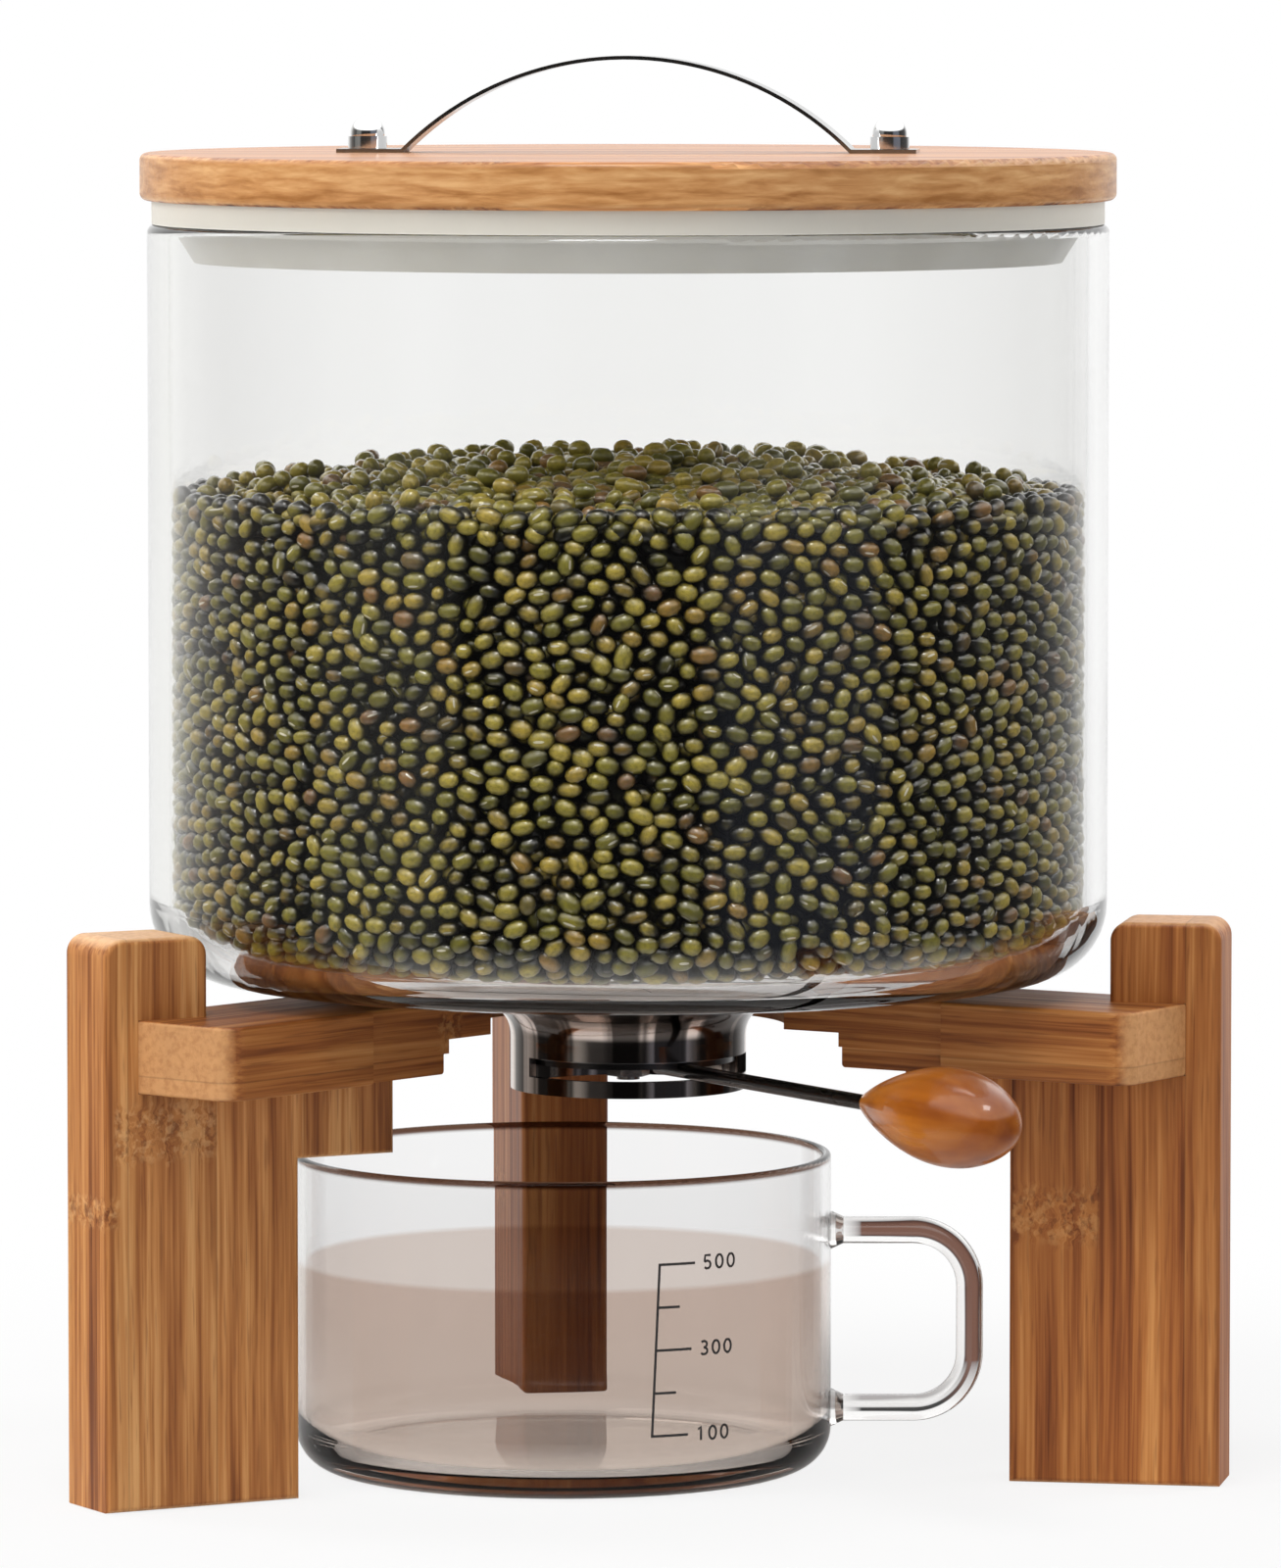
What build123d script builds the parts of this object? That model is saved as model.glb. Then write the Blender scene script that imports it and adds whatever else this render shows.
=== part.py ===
from build123d import *
import math
import os

# Grain dispenser: a glass jar with a lift-off wooden lid stands on a bamboo stand of three legs.
# A lever under the jar turns a shutter in the steel outlet, over a glass measuring cup.
# Millimetres. Z is up and z = 0 is the table. The front is -Y, and the jar's axis is the Z axis.

# Fits
running_gap = 0.05
contact_gap = 0.05
seat_gap = 0.3

# Glass jar
jar_radius = 102.5
jar_wall = 4.5
jar_bottom_z = 103.0
jar_floor = 5.2
jar_rim_z = 267.0
jar_corner = 16.0
jar_flat_radius = 52.0
jar_heel_rise = 3.2
jar_inner_corner = 12.0
jar_rim_round = 2.0
jar_hole_gap = 0.6

# Grain in the jar
grain_wall_z = 210.5
grain_top_z = 219.5
grain_relief = 4.5
grain_lump_radius = 6.5
grain_lump_spacing = 15.0
grain_lump_columns = 44
grain_ring_pitch = 14.0
core_trim = 1.0

# Lid
lid_board_radius = 104.0
lid_board_thickness = 10.0
lid_board_round = 1.5
seal_thickness = 5.0
seal_radius = 101.5
seal_plug_depth = 8.0
seal_plug_top_radius = 97.5
seal_plug_bottom_radius = 92.5
liner_radius = 89.5
liner_thickness = 8.0
lid_turn = -14.0

# Strap handle and its bolts
strap_width = 14.0
strap_thickness = 0.8
strap_half_span = 47.8
strap_rise = 19.8
strap_foot_end = 61.8
strap_bolt_x = 55.8
lid_bolt_radius = 2.0
lid_bolt_head_radius = 3.8
lid_bolt_head_height = 2.2
lid_washer_radius = 5.5
lid_washer_thickness = 0.8
cap_base_radius = 4.2
cap_base_height = 2.6
cap_ball_radius = 3.7
cap_height = 6.9

# Steel outlet under the jar
collar_bottom_z = 82.0
collar_radius = 25.25
collar_wall = 1.7
collar_flare_radius = 32.5
collar_flare_height = 9.0
collar_flare_edge = 1.0
neck_radius = 21.5
neck_wall = 1.5
gasket_thickness = 1.0
gasket_margin = 1.5
inlet_flange_radius = 30.0
inlet_flange_thickness = 2.6
inlet_flange_chamfer = 0.8
slot_bottom_z = 85.5
slot_height = 4.1
slot_left_angle = -66.0
slot_right_angle = 82.0

# Shutter valve
shutter_z = 89.2
shutter_thickness = 1.0
gate_thickness = 1.2
gate_lift = 0.1
gate_edge_gap = 0.65
port_inner_radius = 6.8
port_outer_radius = 20.5
port_angle = 56.0
port_count = 3
pivot_radius = 2.5
pivot_head_radius = 4.6
pivot_head_height = 3.0
pivot_head_round = 1.2
pivot_washer_radius = 6.0
pivot_washer_thickness = 0.8
pivot_nut_size = 8.0
pivot_nut_height = 2.6
pivot_tail = 0.8

# Lever
lever_angle = 22.0
rod_radius = 1.6
rod_drop = 1.7
rod_inner_end = 12.0
rod_chamfer = 0.3
knob_start = 96.0
knob_length = 52.0
knob_radius = 10.2
knob_tip_radius = 2.4
knob_socket_depth = 24.0

# Legs
leg_angle = 19.5
leg_thickness = 19.5
leg_inner_radius = 84.0
leg_outer_radius = 129.0
leg_tip_inner_radius = 105.3
leg_height = 120.0
leg_tip_round = 4.0
leg_edge_round = 1.2
arm_inner_radius = 61.5
arm_bottom_z = 72.0
leg_top_drop = 0.5
back_leg_inner_radius = 88.0
back_leg_outer_radius = 134.0

# Bars that the jar stands on
bar_width = 35.0
bar_height = 15.5
bar_angle = 41.0
bar_corner_x = 94.5
bar_corner_y = -69.0
bar_block_length = 71.0
lap_overhang = 18.0
bar_step_at = 45.0
bar_step_depth = 1.5
bar_ply_height = 4.5
bar_ply_depth = 3.0
bar_tongue_height = 8.0
bar_tongue_root = 8.0
bar_corner_round = 5.0
bar_edge_round = 0.8
bar_collar_gap = 1.5
back_bar_width = 25.0
back_bar_step_y = 64.0

# Wood screws in the stand
screw_radius = 2.0
screw_head_radius = 4.0
screw_head_height = 2.0
arm_screw_radius_at = 74.0
arm_screw_length = 24.0
lap_screw_length = 12.0
lap_screw_spacing = 12.0
back_screw_length = 40.0
screw_gap = 0.02

# Measuring cup
cup_x = -13.8
cup_y = 2.2
cup_radius = 57.5
cup_height = 68.0
cup_wall = 2.0
cup_floor = 5.0
cup_corner = 9.0
cup_inner_corner = 7.5
cup_rim_round = 0.9
cup_handle_angle = -9.2
cup_handle_reach = 90.2
cup_handle_radius = 2.9
cup_handle_top_z = 51.0
cup_handle_bottom_z = 12.6
cup_handle_bend = 12.0
cup_pad_radius = 4.6
cup_pad_length = 3.2
cup_pad_taper = 25.0

# Worked-out sizes
jar_inner_radius = jar_radius - jar_wall
jar_floor_z = jar_bottom_z + jar_floor
jar_hole_radius = neck_radius + jar_hole_gap
seal_top_z = jar_rim_z + seal_thickness
lid_top_z = seal_top_z + lid_board_thickness
liner_z = seal_top_z - liner_thickness
bar_z = jar_bottom_z - bar_height
bar_tongue_z = jar_bottom_z - bar_tongue_height
bar_clear_radius = collar_flare_radius + bar_collar_gap
bar_end_x = bar_corner_x + bar_width / 2 * math.sin(math.radians(bar_angle))
bar_end_y = bar_corner_y + bar_width / 2 * math.cos(math.radians(bar_angle))
bar_cross_y = bar_end_y + bar_end_x * math.tan(math.radians(bar_angle))
bar_rear_y = bar_cross_y + bar_width / 2 / math.cos(math.radians(bar_angle))
bar_length = bar_end_x / math.cos(math.radians(bar_angle)) + lap_overhang
lap_y = (bar_clear_radius + bar_rear_y) / 2
collar_bore = collar_radius - collar_wall
collar_top_z = jar_bottom_z - gasket_thickness
flare_bottom_z = collar_top_z - collar_flare_height
inlet_seat_z = jar_floor_z + gasket_thickness
neck_top_z = inlet_seat_z + inlet_flange_thickness
gate_z = shutter_z - gate_lift - gate_thickness
gate_radius = collar_bore - gate_edge_gap
rod_z = shutter_z - gate_lift - rod_drop
pivot_washer_z = gate_z - gate_lift - pivot_washer_thickness
pivot_nut_z = pivot_washer_z - pivot_nut_height
leg_top_z = jar_bottom_z - leg_top_drop
lever_azimuth = lever_angle - 90.0


def polar(radius, angle):
    """A point in plan at a radius and an angle in degrees."""
    turn = math.radians(angle)
    return (radius * math.cos(turn), radius * math.sin(turn))


def upright_plane(angle, height=0.0):
    """A plane through the Z axis: local x runs outwards at the angle, local y is up."""
    ux, uy = polar(1.0, angle)
    return Plane(origin=(0, 0, height), x_dir=(ux, uy, 0), z_dir=(uy, -ux, 0))


def draw_sector(radius, start, sweep):
    """A pie slice about the origin, drawn in the sketch that is open."""
    with BuildLine() as slice_line:
        Line((0, 0), polar(radius, start))
        CenterArc((0, 0), radius, start, sweep)
        Line(polar(radius, start + sweep), (0, 0))
    make_face(slice_line.edges())


def cut_ports(middle):
    """Cut three sector openings in the sketch that is open, the first centred on the angle given."""
    with BuildSketch(mode=Mode.PRIVATE) as ports:
        for index in range(port_count):
            draw_sector(port_outer_radius, middle + index * 360 / port_count - port_angle / 2, port_angle)
        Circle(port_inner_radius, mode=Mode.SUBTRACT)
    add(ports.sketch, mode=Mode.SUBTRACT)


def bar_place(side):
    """Where a front bar starts: the middle of its outer end, turned along the bar."""
    turn = bar_angle if side < 0 else 180.0 - bar_angle
    return Location((side * bar_end_x, bar_end_y, 0), (0, 0, turn))


def draw_bar(side, start, length):
    """A front bar's outline: its outer corners are round, and its front face steps back inwards."""
    with BuildSketch(mode=Mode.PRIVATE) as outline:
        with Locations((start, 0)):
            Rectangle(length - start, bar_width, align=(Align.MIN, Align.CENTER))
        if start == 0:
            fillet(outline.vertices().group_by(Axis.X)[0], radius=bar_corner_round)
        with Locations((bar_step_at, side * bar_width / 2)):
            Rectangle(length, 2 * bar_step_depth, align=(Align.MIN, Align.CENTER), mode=Mode.SUBTRACT)
    with Locations(bar_place(side)):
        add(outline.sketch)


# Glass jar, open at the top, with a hole for the outlet's neck in its floor
with BuildPart() as glass_jar:
    with BuildSketch(Plane.XZ):
        with BuildLine():
            outer_bend = jar_radius - jar_corner
            inner_bend = jar_inner_radius - jar_inner_corner
            outer_heel = (outer_bend, jar_bottom_z + jar_heel_rise)
            inner_heel = (inner_bend, jar_floor_z + jar_heel_rise)
            outer_foot = (jar_radius, jar_bottom_z + jar_heel_rise + jar_corner)
            inner_foot = (jar_inner_radius, jar_floor_z + jar_heel_rise + jar_inner_corner)
            Line((jar_hole_radius, jar_bottom_z), (jar_flat_radius, jar_bottom_z))
            Line((jar_flat_radius, jar_bottom_z), outer_heel)
            RadiusArc(outer_heel, outer_foot, -jar_corner)
            Line(outer_foot, (jar_radius, jar_rim_z))
            Line((jar_radius, jar_rim_z), (jar_inner_radius, jar_rim_z))
            Line((jar_inner_radius, jar_rim_z), inner_foot)
            RadiusArc(inner_foot, inner_heel, jar_inner_corner)
            Line(inner_heel, (jar_flat_radius, jar_floor_z))
            Line((jar_flat_radius, jar_floor_z), (jar_hole_radius, jar_floor_z))
            Line((jar_hole_radius, jar_floor_z), (jar_hole_radius, jar_bottom_z))
        make_face()
    revolve(axis=Axis.Z)
    fillet(glass_jar.edges().group_by(Axis.Z)[-1], radius=jar_rim_round)
glass_jar.part.label = "glass_jar"

# Grain that fills the lower part of the jar, heaped in the middle
grain_radius = jar_inner_radius - seat_gap
grain_floor_z = jar_floor_z + seat_gap
grain_corner = jar_inner_corner
grain_heel_z = grain_floor_z + jar_heel_rise
grain_hollow_radius = inlet_flange_radius + seat_gap
grain_hollow_z = neck_top_z + seat_gap


def lump_spots():
    """Places of the lumps, with their seams inwards: columns up the wall, then rings on the heap."""
    wall_radius = grain_radius - grain_lump_radius
    heap_drop = (grain_top_z - grain_wall_z) / grain_radius**2
    corner_reach = (grain_corner - grain_lump_radius) * math.sqrt(0.5)
    first_radius = grain_radius - grain_corner + corner_reach
    first_z = grain_heel_z + grain_corner - corner_reach
    last_z = grain_top_z - heap_drop * wall_radius**2 - grain_lump_radius
    steps = round((last_z - first_z) / grain_lump_spacing)
    pitch = (last_z - first_z) / steps
    spots = []
    for column in range(grain_lump_columns):
        angle = (column + 0.5) * 360 / grain_lump_columns
        raised = column % 2
        for step in range(steps + 1 - raised):
            radius = wall_radius if step or raised else first_radius
            place = (*polar(radius, angle), first_z + (step + 0.5 * raised) * pitch)
            spots.append(Location(place, (0, 0, angle + 180)))
    for ring in range(1, int(wall_radius / grain_ring_pitch) + 1):
        radius = wall_radius - ring * grain_ring_pitch
        height = grain_top_z - heap_drop * radius**2 - grain_lump_radius
        count = int(2 * math.pi * radius / grain_lump_spacing)
        for index in range(count):
            angle = index * 360 / count
            spots.append(Location((*polar(radius, angle), height), (0, 0, angle + 180)))
    return spots


with BuildPart() as grain_fill:
    with BuildSketch(Plane.XZ):
        with BuildLine():
            core_radius = grain_radius - grain_relief
            core_reach = core_radius + core_trim
            core_heel = (core_reach - grain_corner, grain_heel_z)
            core_foot = (core_reach, grain_heel_z + grain_corner)
            core_edge = (core_reach, grain_wall_z - grain_relief)
            core_top = (0, grain_top_z - grain_relief)
            Line((0, grain_hollow_z), (grain_hollow_radius, grain_hollow_z))
            Line((grain_hollow_radius, grain_hollow_z), (grain_hollow_radius, grain_floor_z))
            Line((grain_hollow_radius, grain_floor_z), (jar_flat_radius, grain_floor_z))
            Line((jar_flat_radius, grain_floor_z), core_heel)
            RadiusArc(core_heel, core_foot, -grain_corner)
            Line(core_foot, core_edge)
            TangentArc(core_top, core_edge, tangent=(1, 0))
            Line(core_top, (0, grain_hollow_z))
        make_face()
    revolve(axis=Axis.Z)
    # A ring of flat facets, one to a column, trims the core
    with BuildSketch(Plane.XY.offset(grain_floor_z)):
        RegularPolygon(core_radius, grain_lump_columns, major_radius=False)
    extrude(amount=grain_top_z - grain_floor_z, mode=Mode.INTERSECT)
    with Locations(*lump_spots()):
        Sphere(grain_lump_radius)
grain_fill.part.label = "grain_fill"

# Grain that stands in the outlet, on the closed shutter
column_bottom_z = shutter_z + shutter_thickness + pivot_head_height + seat_gap
with BuildPart() as grain_in_outlet:
    with BuildSketch(Plane.XY.offset(column_bottom_z)):
        Circle(neck_radius - neck_wall - seat_gap)
    extrude(amount=grain_hollow_z - column_bottom_z)
grain_in_outlet.part.label = "grain_in_outlet"

# Outlet collar: a spun steel trumpet with a neck that passes up through the glass
with BuildPart() as outlet_collar:
    with BuildSketch(Plane.XZ):
        with BuildLine():
            flare_edge_z = collar_top_z - collar_flare_edge
            neck_bore = neck_radius - neck_wall
            Line((collar_bore, collar_bottom_z), (collar_radius, collar_bottom_z))
            Line((collar_radius, collar_bottom_z), (collar_radius, flare_bottom_z))
            Spline(
                (collar_radius, flare_bottom_z),
                (collar_flare_radius, flare_edge_z),
                tangents=((0, 1), (1, 0.35)),
            )
            Line((collar_flare_radius, flare_edge_z), (collar_flare_radius, collar_top_z))
            Line((collar_flare_radius, collar_top_z), (neck_radius, collar_top_z))
            Line((neck_radius, collar_top_z), (neck_radius, neck_top_z))
            Line((neck_radius, neck_top_z), (neck_bore, neck_top_z))
            Line((neck_bore, neck_top_z), (neck_bore, flare_bottom_z + collar_bore - neck_bore))
            Line((neck_bore, flare_bottom_z + collar_bore - neck_bore), (collar_bore, flare_bottom_z))
            Line((collar_bore, flare_bottom_z), (collar_bore, collar_bottom_z))
        make_face()
    revolve(axis=Axis.Z)
    with BuildSketch(Plane.XY.offset(slot_bottom_z)):
        draw_sector(collar_flare_radius, slot_left_angle - 90, slot_right_angle - slot_left_angle)
    extrude(amount=slot_height, mode=Mode.SUBTRACT)
outlet_collar.part.label = "outlet_collar"

# Gaskets under and over the glass floor, and the ring inside that clamps them
with BuildPart() as lower_gasket:
    with BuildSketch(Plane.XY.offset(collar_top_z)):
        Circle(collar_flare_radius - gasket_margin)
        Circle(neck_radius + contact_gap, mode=Mode.SUBTRACT)
    extrude(amount=gasket_thickness)
lower_gasket.part.label = "lower_gasket"

with BuildPart() as upper_gasket:
    with BuildSketch(Plane.XY.offset(jar_floor_z)):
        Circle(inlet_flange_radius - gasket_margin)
        Circle(neck_radius + contact_gap, mode=Mode.SUBTRACT)
    extrude(amount=gasket_thickness)
upper_gasket.part.label = "upper_gasket"

with BuildPart() as inlet_flange:
    with BuildSketch(Plane.XY.offset(inlet_seat_z)):
        Circle(inlet_flange_radius)
        Circle(neck_radius + contact_gap, mode=Mode.SUBTRACT)
    extrude(amount=inlet_flange_thickness)
    chamfer(inlet_flange.edges().group_by(Axis.Z)[-1].sort_by(SortBy.LENGTH)[-1], length=inlet_flange_chamfer)
inlet_flange.part.label = "inlet_flange"

# Fixed shutter: its ports lie over the gate's solid sectors while the lever is at rest
with BuildPart() as fixed_shutter:
    with BuildSketch(Plane.XY.offset(shutter_z)):
        Circle(collar_bore - contact_gap)
        Circle(pivot_radius + contact_gap, mode=Mode.SUBTRACT)
        cut_ports(lever_azimuth)
    extrude(amount=shutter_thickness)
fixed_shutter.part.label = "fixed_shutter"

# Turning gate plate, notched for the lever rod
with BuildPart() as gate_disc:
    with BuildSketch(Plane.XY.offset(gate_z)):
        Circle(gate_radius)
        Circle(pivot_radius + running_gap, mode=Mode.SUBTRACT)
        cut_ports(lever_azimuth + 180 / port_count)
        with Locations(Location((0, 0, 0), (0, 0, lever_azimuth))):
            with Locations((rod_inner_end - contact_gap, 0)):
                Rectangle(
                    collar_radius,
                    2 * (rod_radius + contact_gap),
                    align=(Align.MIN, Align.CENTER),
                    mode=Mode.SUBTRACT,
                )
    extrude(amount=gate_thickness)
gate_disc.part.label = "gate_disc"

# Pivot bolt, washer and nut that carry the gate under the fixed shutter
with BuildPart() as pivot_bolt:
    with BuildSketch(Plane.XY.offset(pivot_nut_z - pivot_tail)):
        Circle(pivot_radius)
    extrude(amount=shutter_z + shutter_thickness - pivot_nut_z + pivot_tail)
    with BuildSketch(Plane.XY.offset(shutter_z + shutter_thickness)):
        Circle(pivot_head_radius)
    extrude(amount=pivot_head_height)
    fillet(pivot_bolt.edges().group_by(Axis.Z)[-1], radius=pivot_head_round)
pivot_bolt.part.label = "pivot_bolt"

with BuildPart() as pivot_washer:
    with BuildSketch(Plane.XY.offset(pivot_washer_z)):
        Circle(pivot_washer_radius)
        Circle(pivot_radius + contact_gap, mode=Mode.SUBTRACT)
    extrude(amount=pivot_washer_thickness)
pivot_washer.part.label = "pivot_washer"

with BuildPart() as pivot_nut:
    with BuildSketch(Plane.XY.offset(pivot_nut_z)):
        RegularPolygon(pivot_nut_size / 2, 6, major_radius=False)
        Circle(pivot_radius + contact_gap, mode=Mode.SUBTRACT)
    extrude(amount=pivot_nut_height)
pivot_nut.part.label = "pivot_nut"

# Lever rod, let into the gate's notch, and the turned wooden knob on its end
lever_plane = upright_plane(lever_azimuth, rod_z)
lever_axis = Axis(lever_plane.origin, lever_plane.x_dir)
with BuildPart() as lever_rod:
    with BuildSketch(lever_plane):
        with Locations((rod_inner_end, 0)):
            Rectangle(
                knob_start + knob_socket_depth - rod_inner_end - seat_gap,
                rod_radius,
                align=(Align.MIN, Align.MIN),
            )
    revolve(axis=lever_axis)
    chamfer(lever_rod.edges().filter_by(GeomType.CIRCLE), length=rod_chamfer)
lever_rod.part.label = "lever_rod"

with BuildPart() as lever_knob:
    with BuildSketch(lever_plane):
        with BuildLine():
            knob_end = knob_start + knob_length
            Line((knob_start, 0), (knob_start, knob_tip_radius))
            Spline(
                (knob_start, knob_tip_radius),
                (knob_start + 0.26 * knob_length, 0.72 * knob_radius),
                (knob_start + 0.58 * knob_length, knob_radius),
                (knob_start + 0.88 * knob_length, 0.72 * knob_radius),
                (knob_end, 0),
                tangents=((1, 0.45), (0, -1)),
            )
            Line((knob_end, 0), (knob_start, 0))
        make_face()
    revolve(axis=lever_axis)
    with BuildSketch(lever_plane):
        with Locations((knob_start, 0)):
            Rectangle(knob_socket_depth, rod_radius + contact_gap, align=(Align.MIN, Align.MIN))
    revolve(axis=lever_axis, mode=Mode.SUBTRACT)
lever_knob.part.label = "lever_knob"

# Lid: wooden board, sealing ring, liner, strap handle and the two bolts through them
with BuildPart() as lid_board:
    with BuildSketch(Plane.XY.offset(seal_top_z)):
        Circle(lid_board_radius)
    extrude(amount=lid_board_thickness)
    fillet(lid_board.edges(), radius=lid_board_round)
    with BuildSketch(Plane.XY.offset(seal_top_z)):
        for end in (-1, 1):
            with Locations(polar(end * strap_bolt_x, lid_turn)):
                Circle(lid_bolt_radius + contact_gap)
    extrude(amount=lid_board_thickness, mode=Mode.SUBTRACT)
lid_board.part.label = "lid_board"

with BuildPart() as lid_seal:
    with BuildSketch(Plane.XZ):
        with BuildLine():
            seal_inner_radius = liner_radius + contact_gap
            Polyline(
                (seal_inner_radius, seal_top_z),
                (seal_inner_radius, jar_rim_z - seal_plug_depth),
                (seal_plug_bottom_radius, jar_rim_z - seal_plug_depth),
                (seal_plug_top_radius, jar_rim_z),
                (seal_radius, jar_rim_z),
                (seal_radius, seal_top_z),
                close=True,
            )
        make_face()
    revolve(axis=Axis.Z)
lid_seal.part.label = "lid_seal"

with BuildPart() as lid_liner:
    with BuildSketch(Plane.XY.offset(liner_z)):
        Circle(liner_radius)
        for end in (-1, 1):
            with Locations(polar(end * strap_bolt_x, lid_turn)):
                Circle(lid_bolt_radius + contact_gap, mode=Mode.SUBTRACT)
    extrude(amount=liner_thickness)
lid_liner.part.label = "lid_liner"

strap_plane = upright_plane(lid_turn, lid_top_z + strap_thickness / 2)
with BuildPart() as handle_strap:
    with BuildSketch(strap_plane):
        with BuildLine() as strap_line:
            Line((-strap_foot_end, 0), (-strap_half_span, 0))
            ThreePointArc((-strap_half_span, 0), (0, strap_rise), (strap_half_span, 0))
            Line((strap_half_span, 0), (strap_foot_end, 0))
        trace(strap_line.edges(), line_width=strap_thickness)
    extrude(amount=strap_width / 2, both=True)
    with BuildSketch(Plane.XY.offset(lid_top_z)):
        for end in (-1, 1):
            with Locations(polar(end * strap_bolt_x, lid_turn)):
                Circle(lid_bolt_radius + contact_gap)
    extrude(amount=strap_thickness, mode=Mode.SUBTRACT)
handle_strap.part.label = "handle_strap"

with BuildPart() as lid_washers:
    with BuildSketch(Plane.XY.offset(liner_z - lid_washer_thickness)):
        for end in (-1, 1):
            with Locations(polar(end * strap_bolt_x, lid_turn)):
                Circle(lid_washer_radius)
                Circle(lid_bolt_radius + contact_gap, mode=Mode.SUBTRACT)
    extrude(amount=lid_washer_thickness)
lid_washers.part.label = "lid_washers"

bolt_head_z = liner_z - lid_washer_thickness - lid_bolt_head_height
bolt_top_z = lid_top_z + strap_thickness + cap_base_height
with BuildPart() as lid_bolts:
    for end in (-1, 1):
        with BuildSketch(Plane.XY.offset(bolt_head_z)):
            with Locations(polar(end * strap_bolt_x, lid_turn)):
                Circle(lid_bolt_head_radius)
        extrude(amount=lid_bolt_head_height)
        with BuildSketch(Plane.XY.offset(bolt_head_z)):
            with Locations(polar(end * strap_bolt_x, lid_turn)):
                Circle(lid_bolt_radius)
        extrude(amount=bolt_top_z - bolt_head_z)
lid_bolts.part.label = "lid_bolts"

with BuildPart() as cap_nuts:
    for end in (-1, 1):
        nut_x, nut_y = polar(end * strap_bolt_x, lid_turn)
        nut_plane = Plane(origin=(nut_x, nut_y, lid_top_z + strap_thickness), x_dir=(1, 0, 0), z_dir=(0, -1, 0))
        with BuildSketch(nut_plane):
            with BuildLine():
                ball_z = cap_height - cap_ball_radius
                neck_x = math.sqrt(cap_ball_radius**2 - (ball_z - cap_base_height) ** 2)
                hole_x = lid_bolt_radius + contact_gap
                Polyline(
                    (hole_x, 0),
                    (cap_base_radius, 0),
                    (cap_base_radius, cap_base_height),
                    (neck_x, cap_base_height),
                )
                ThreePointArc((neck_x, cap_base_height), (cap_ball_radius, ball_z), (0, cap_height))
                Polyline(
                    (0, cap_height),
                    (0, cap_base_height + contact_gap),
                    (hole_x, cap_base_height + contact_gap),
                    (hole_x, 0),
                )
            make_face()
        revolve(axis=Axis((nut_x, nut_y, 0), (0, 0, 1)))
cap_nuts.part.label = "cap_nuts"


def leg_outline(inner, outer, is_front):
    """A leg's outline in its upright plane: the post, its tip and, in front, its arm."""
    with BuildLine() as outline:
        if is_front:
            Polyline(
                (inner, 0),
                (outer, 0),
                (outer, leg_height),
                (leg_tip_inner_radius, leg_height),
                (leg_tip_inner_radius, leg_top_z),
                (arm_inner_radius, leg_top_z),
                (arm_inner_radius, arm_bottom_z),
                (inner, arm_bottom_z),
                close=True,
            )
        else:
            Polyline(
                (inner, 0),
                (outer, 0),
                (outer, leg_height),
                (leg_tip_inner_radius, leg_height),
                (leg_tip_inner_radius, bar_z),
                (inner, bar_z),
                close=True,
            )
    make_face(outline.edges())


def make_leg(angle, inner, outer, side):
    """One leg as a plank in an upright plane; side is 0 for the back leg."""
    plane = upright_plane(angle)
    with BuildPart() as leg:
        with BuildSketch(plane):
            leg_outline(inner, outer, side != 0)
        extrude(amount=leg_thickness / 2, both=True)
        tip_corners = leg.edges().filter_by(Axis(plane.origin, plane.z_dir)).group_by(Axis.Z)[-1]
        fillet(tip_corners, radius=leg_tip_round)
        long_edges = leg.edges().filter_by(lambda e: abs(e.tangent_at(0.5).dot(plane.z_dir)) < 0.01)
        fillet(long_edges, radius=leg_edge_round)
        if side:
            with BuildSketch(Plane.XY.offset(bar_z)):
                draw_bar(side, 0, bar_length)
            extrude(amount=bar_height, mode=Mode.SUBTRACT)
            screw_x, screw_y = polar(arm_screw_radius_at, angle)
            with BuildSketch(Plane.XY.offset(arm_bottom_z)):
                with Locations((screw_x, screw_y)):
                    Circle(screw_radius + screw_gap)
            extrude(amount=arm_screw_length, mode=Mode.SUBTRACT)
            with BuildSketch(Plane.XY.offset(arm_bottom_z)):
                with Locations((screw_x, screw_y)):
                    Circle(screw_head_radius + screw_gap)
            extrude(amount=screw_head_height + screw_gap, mode=Mode.SUBTRACT)
        else:
            screw_x, screw_y = polar((inner + leg_tip_inner_radius) / 2, angle)
            with BuildSketch(Plane.XY.offset(jar_bottom_z - back_screw_length)):
                with Locations((screw_x, screw_y)):
                    Circle(screw_radius + screw_gap)
            extrude(amount=back_screw_length, mode=Mode.SUBTRACT)
    return leg


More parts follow.
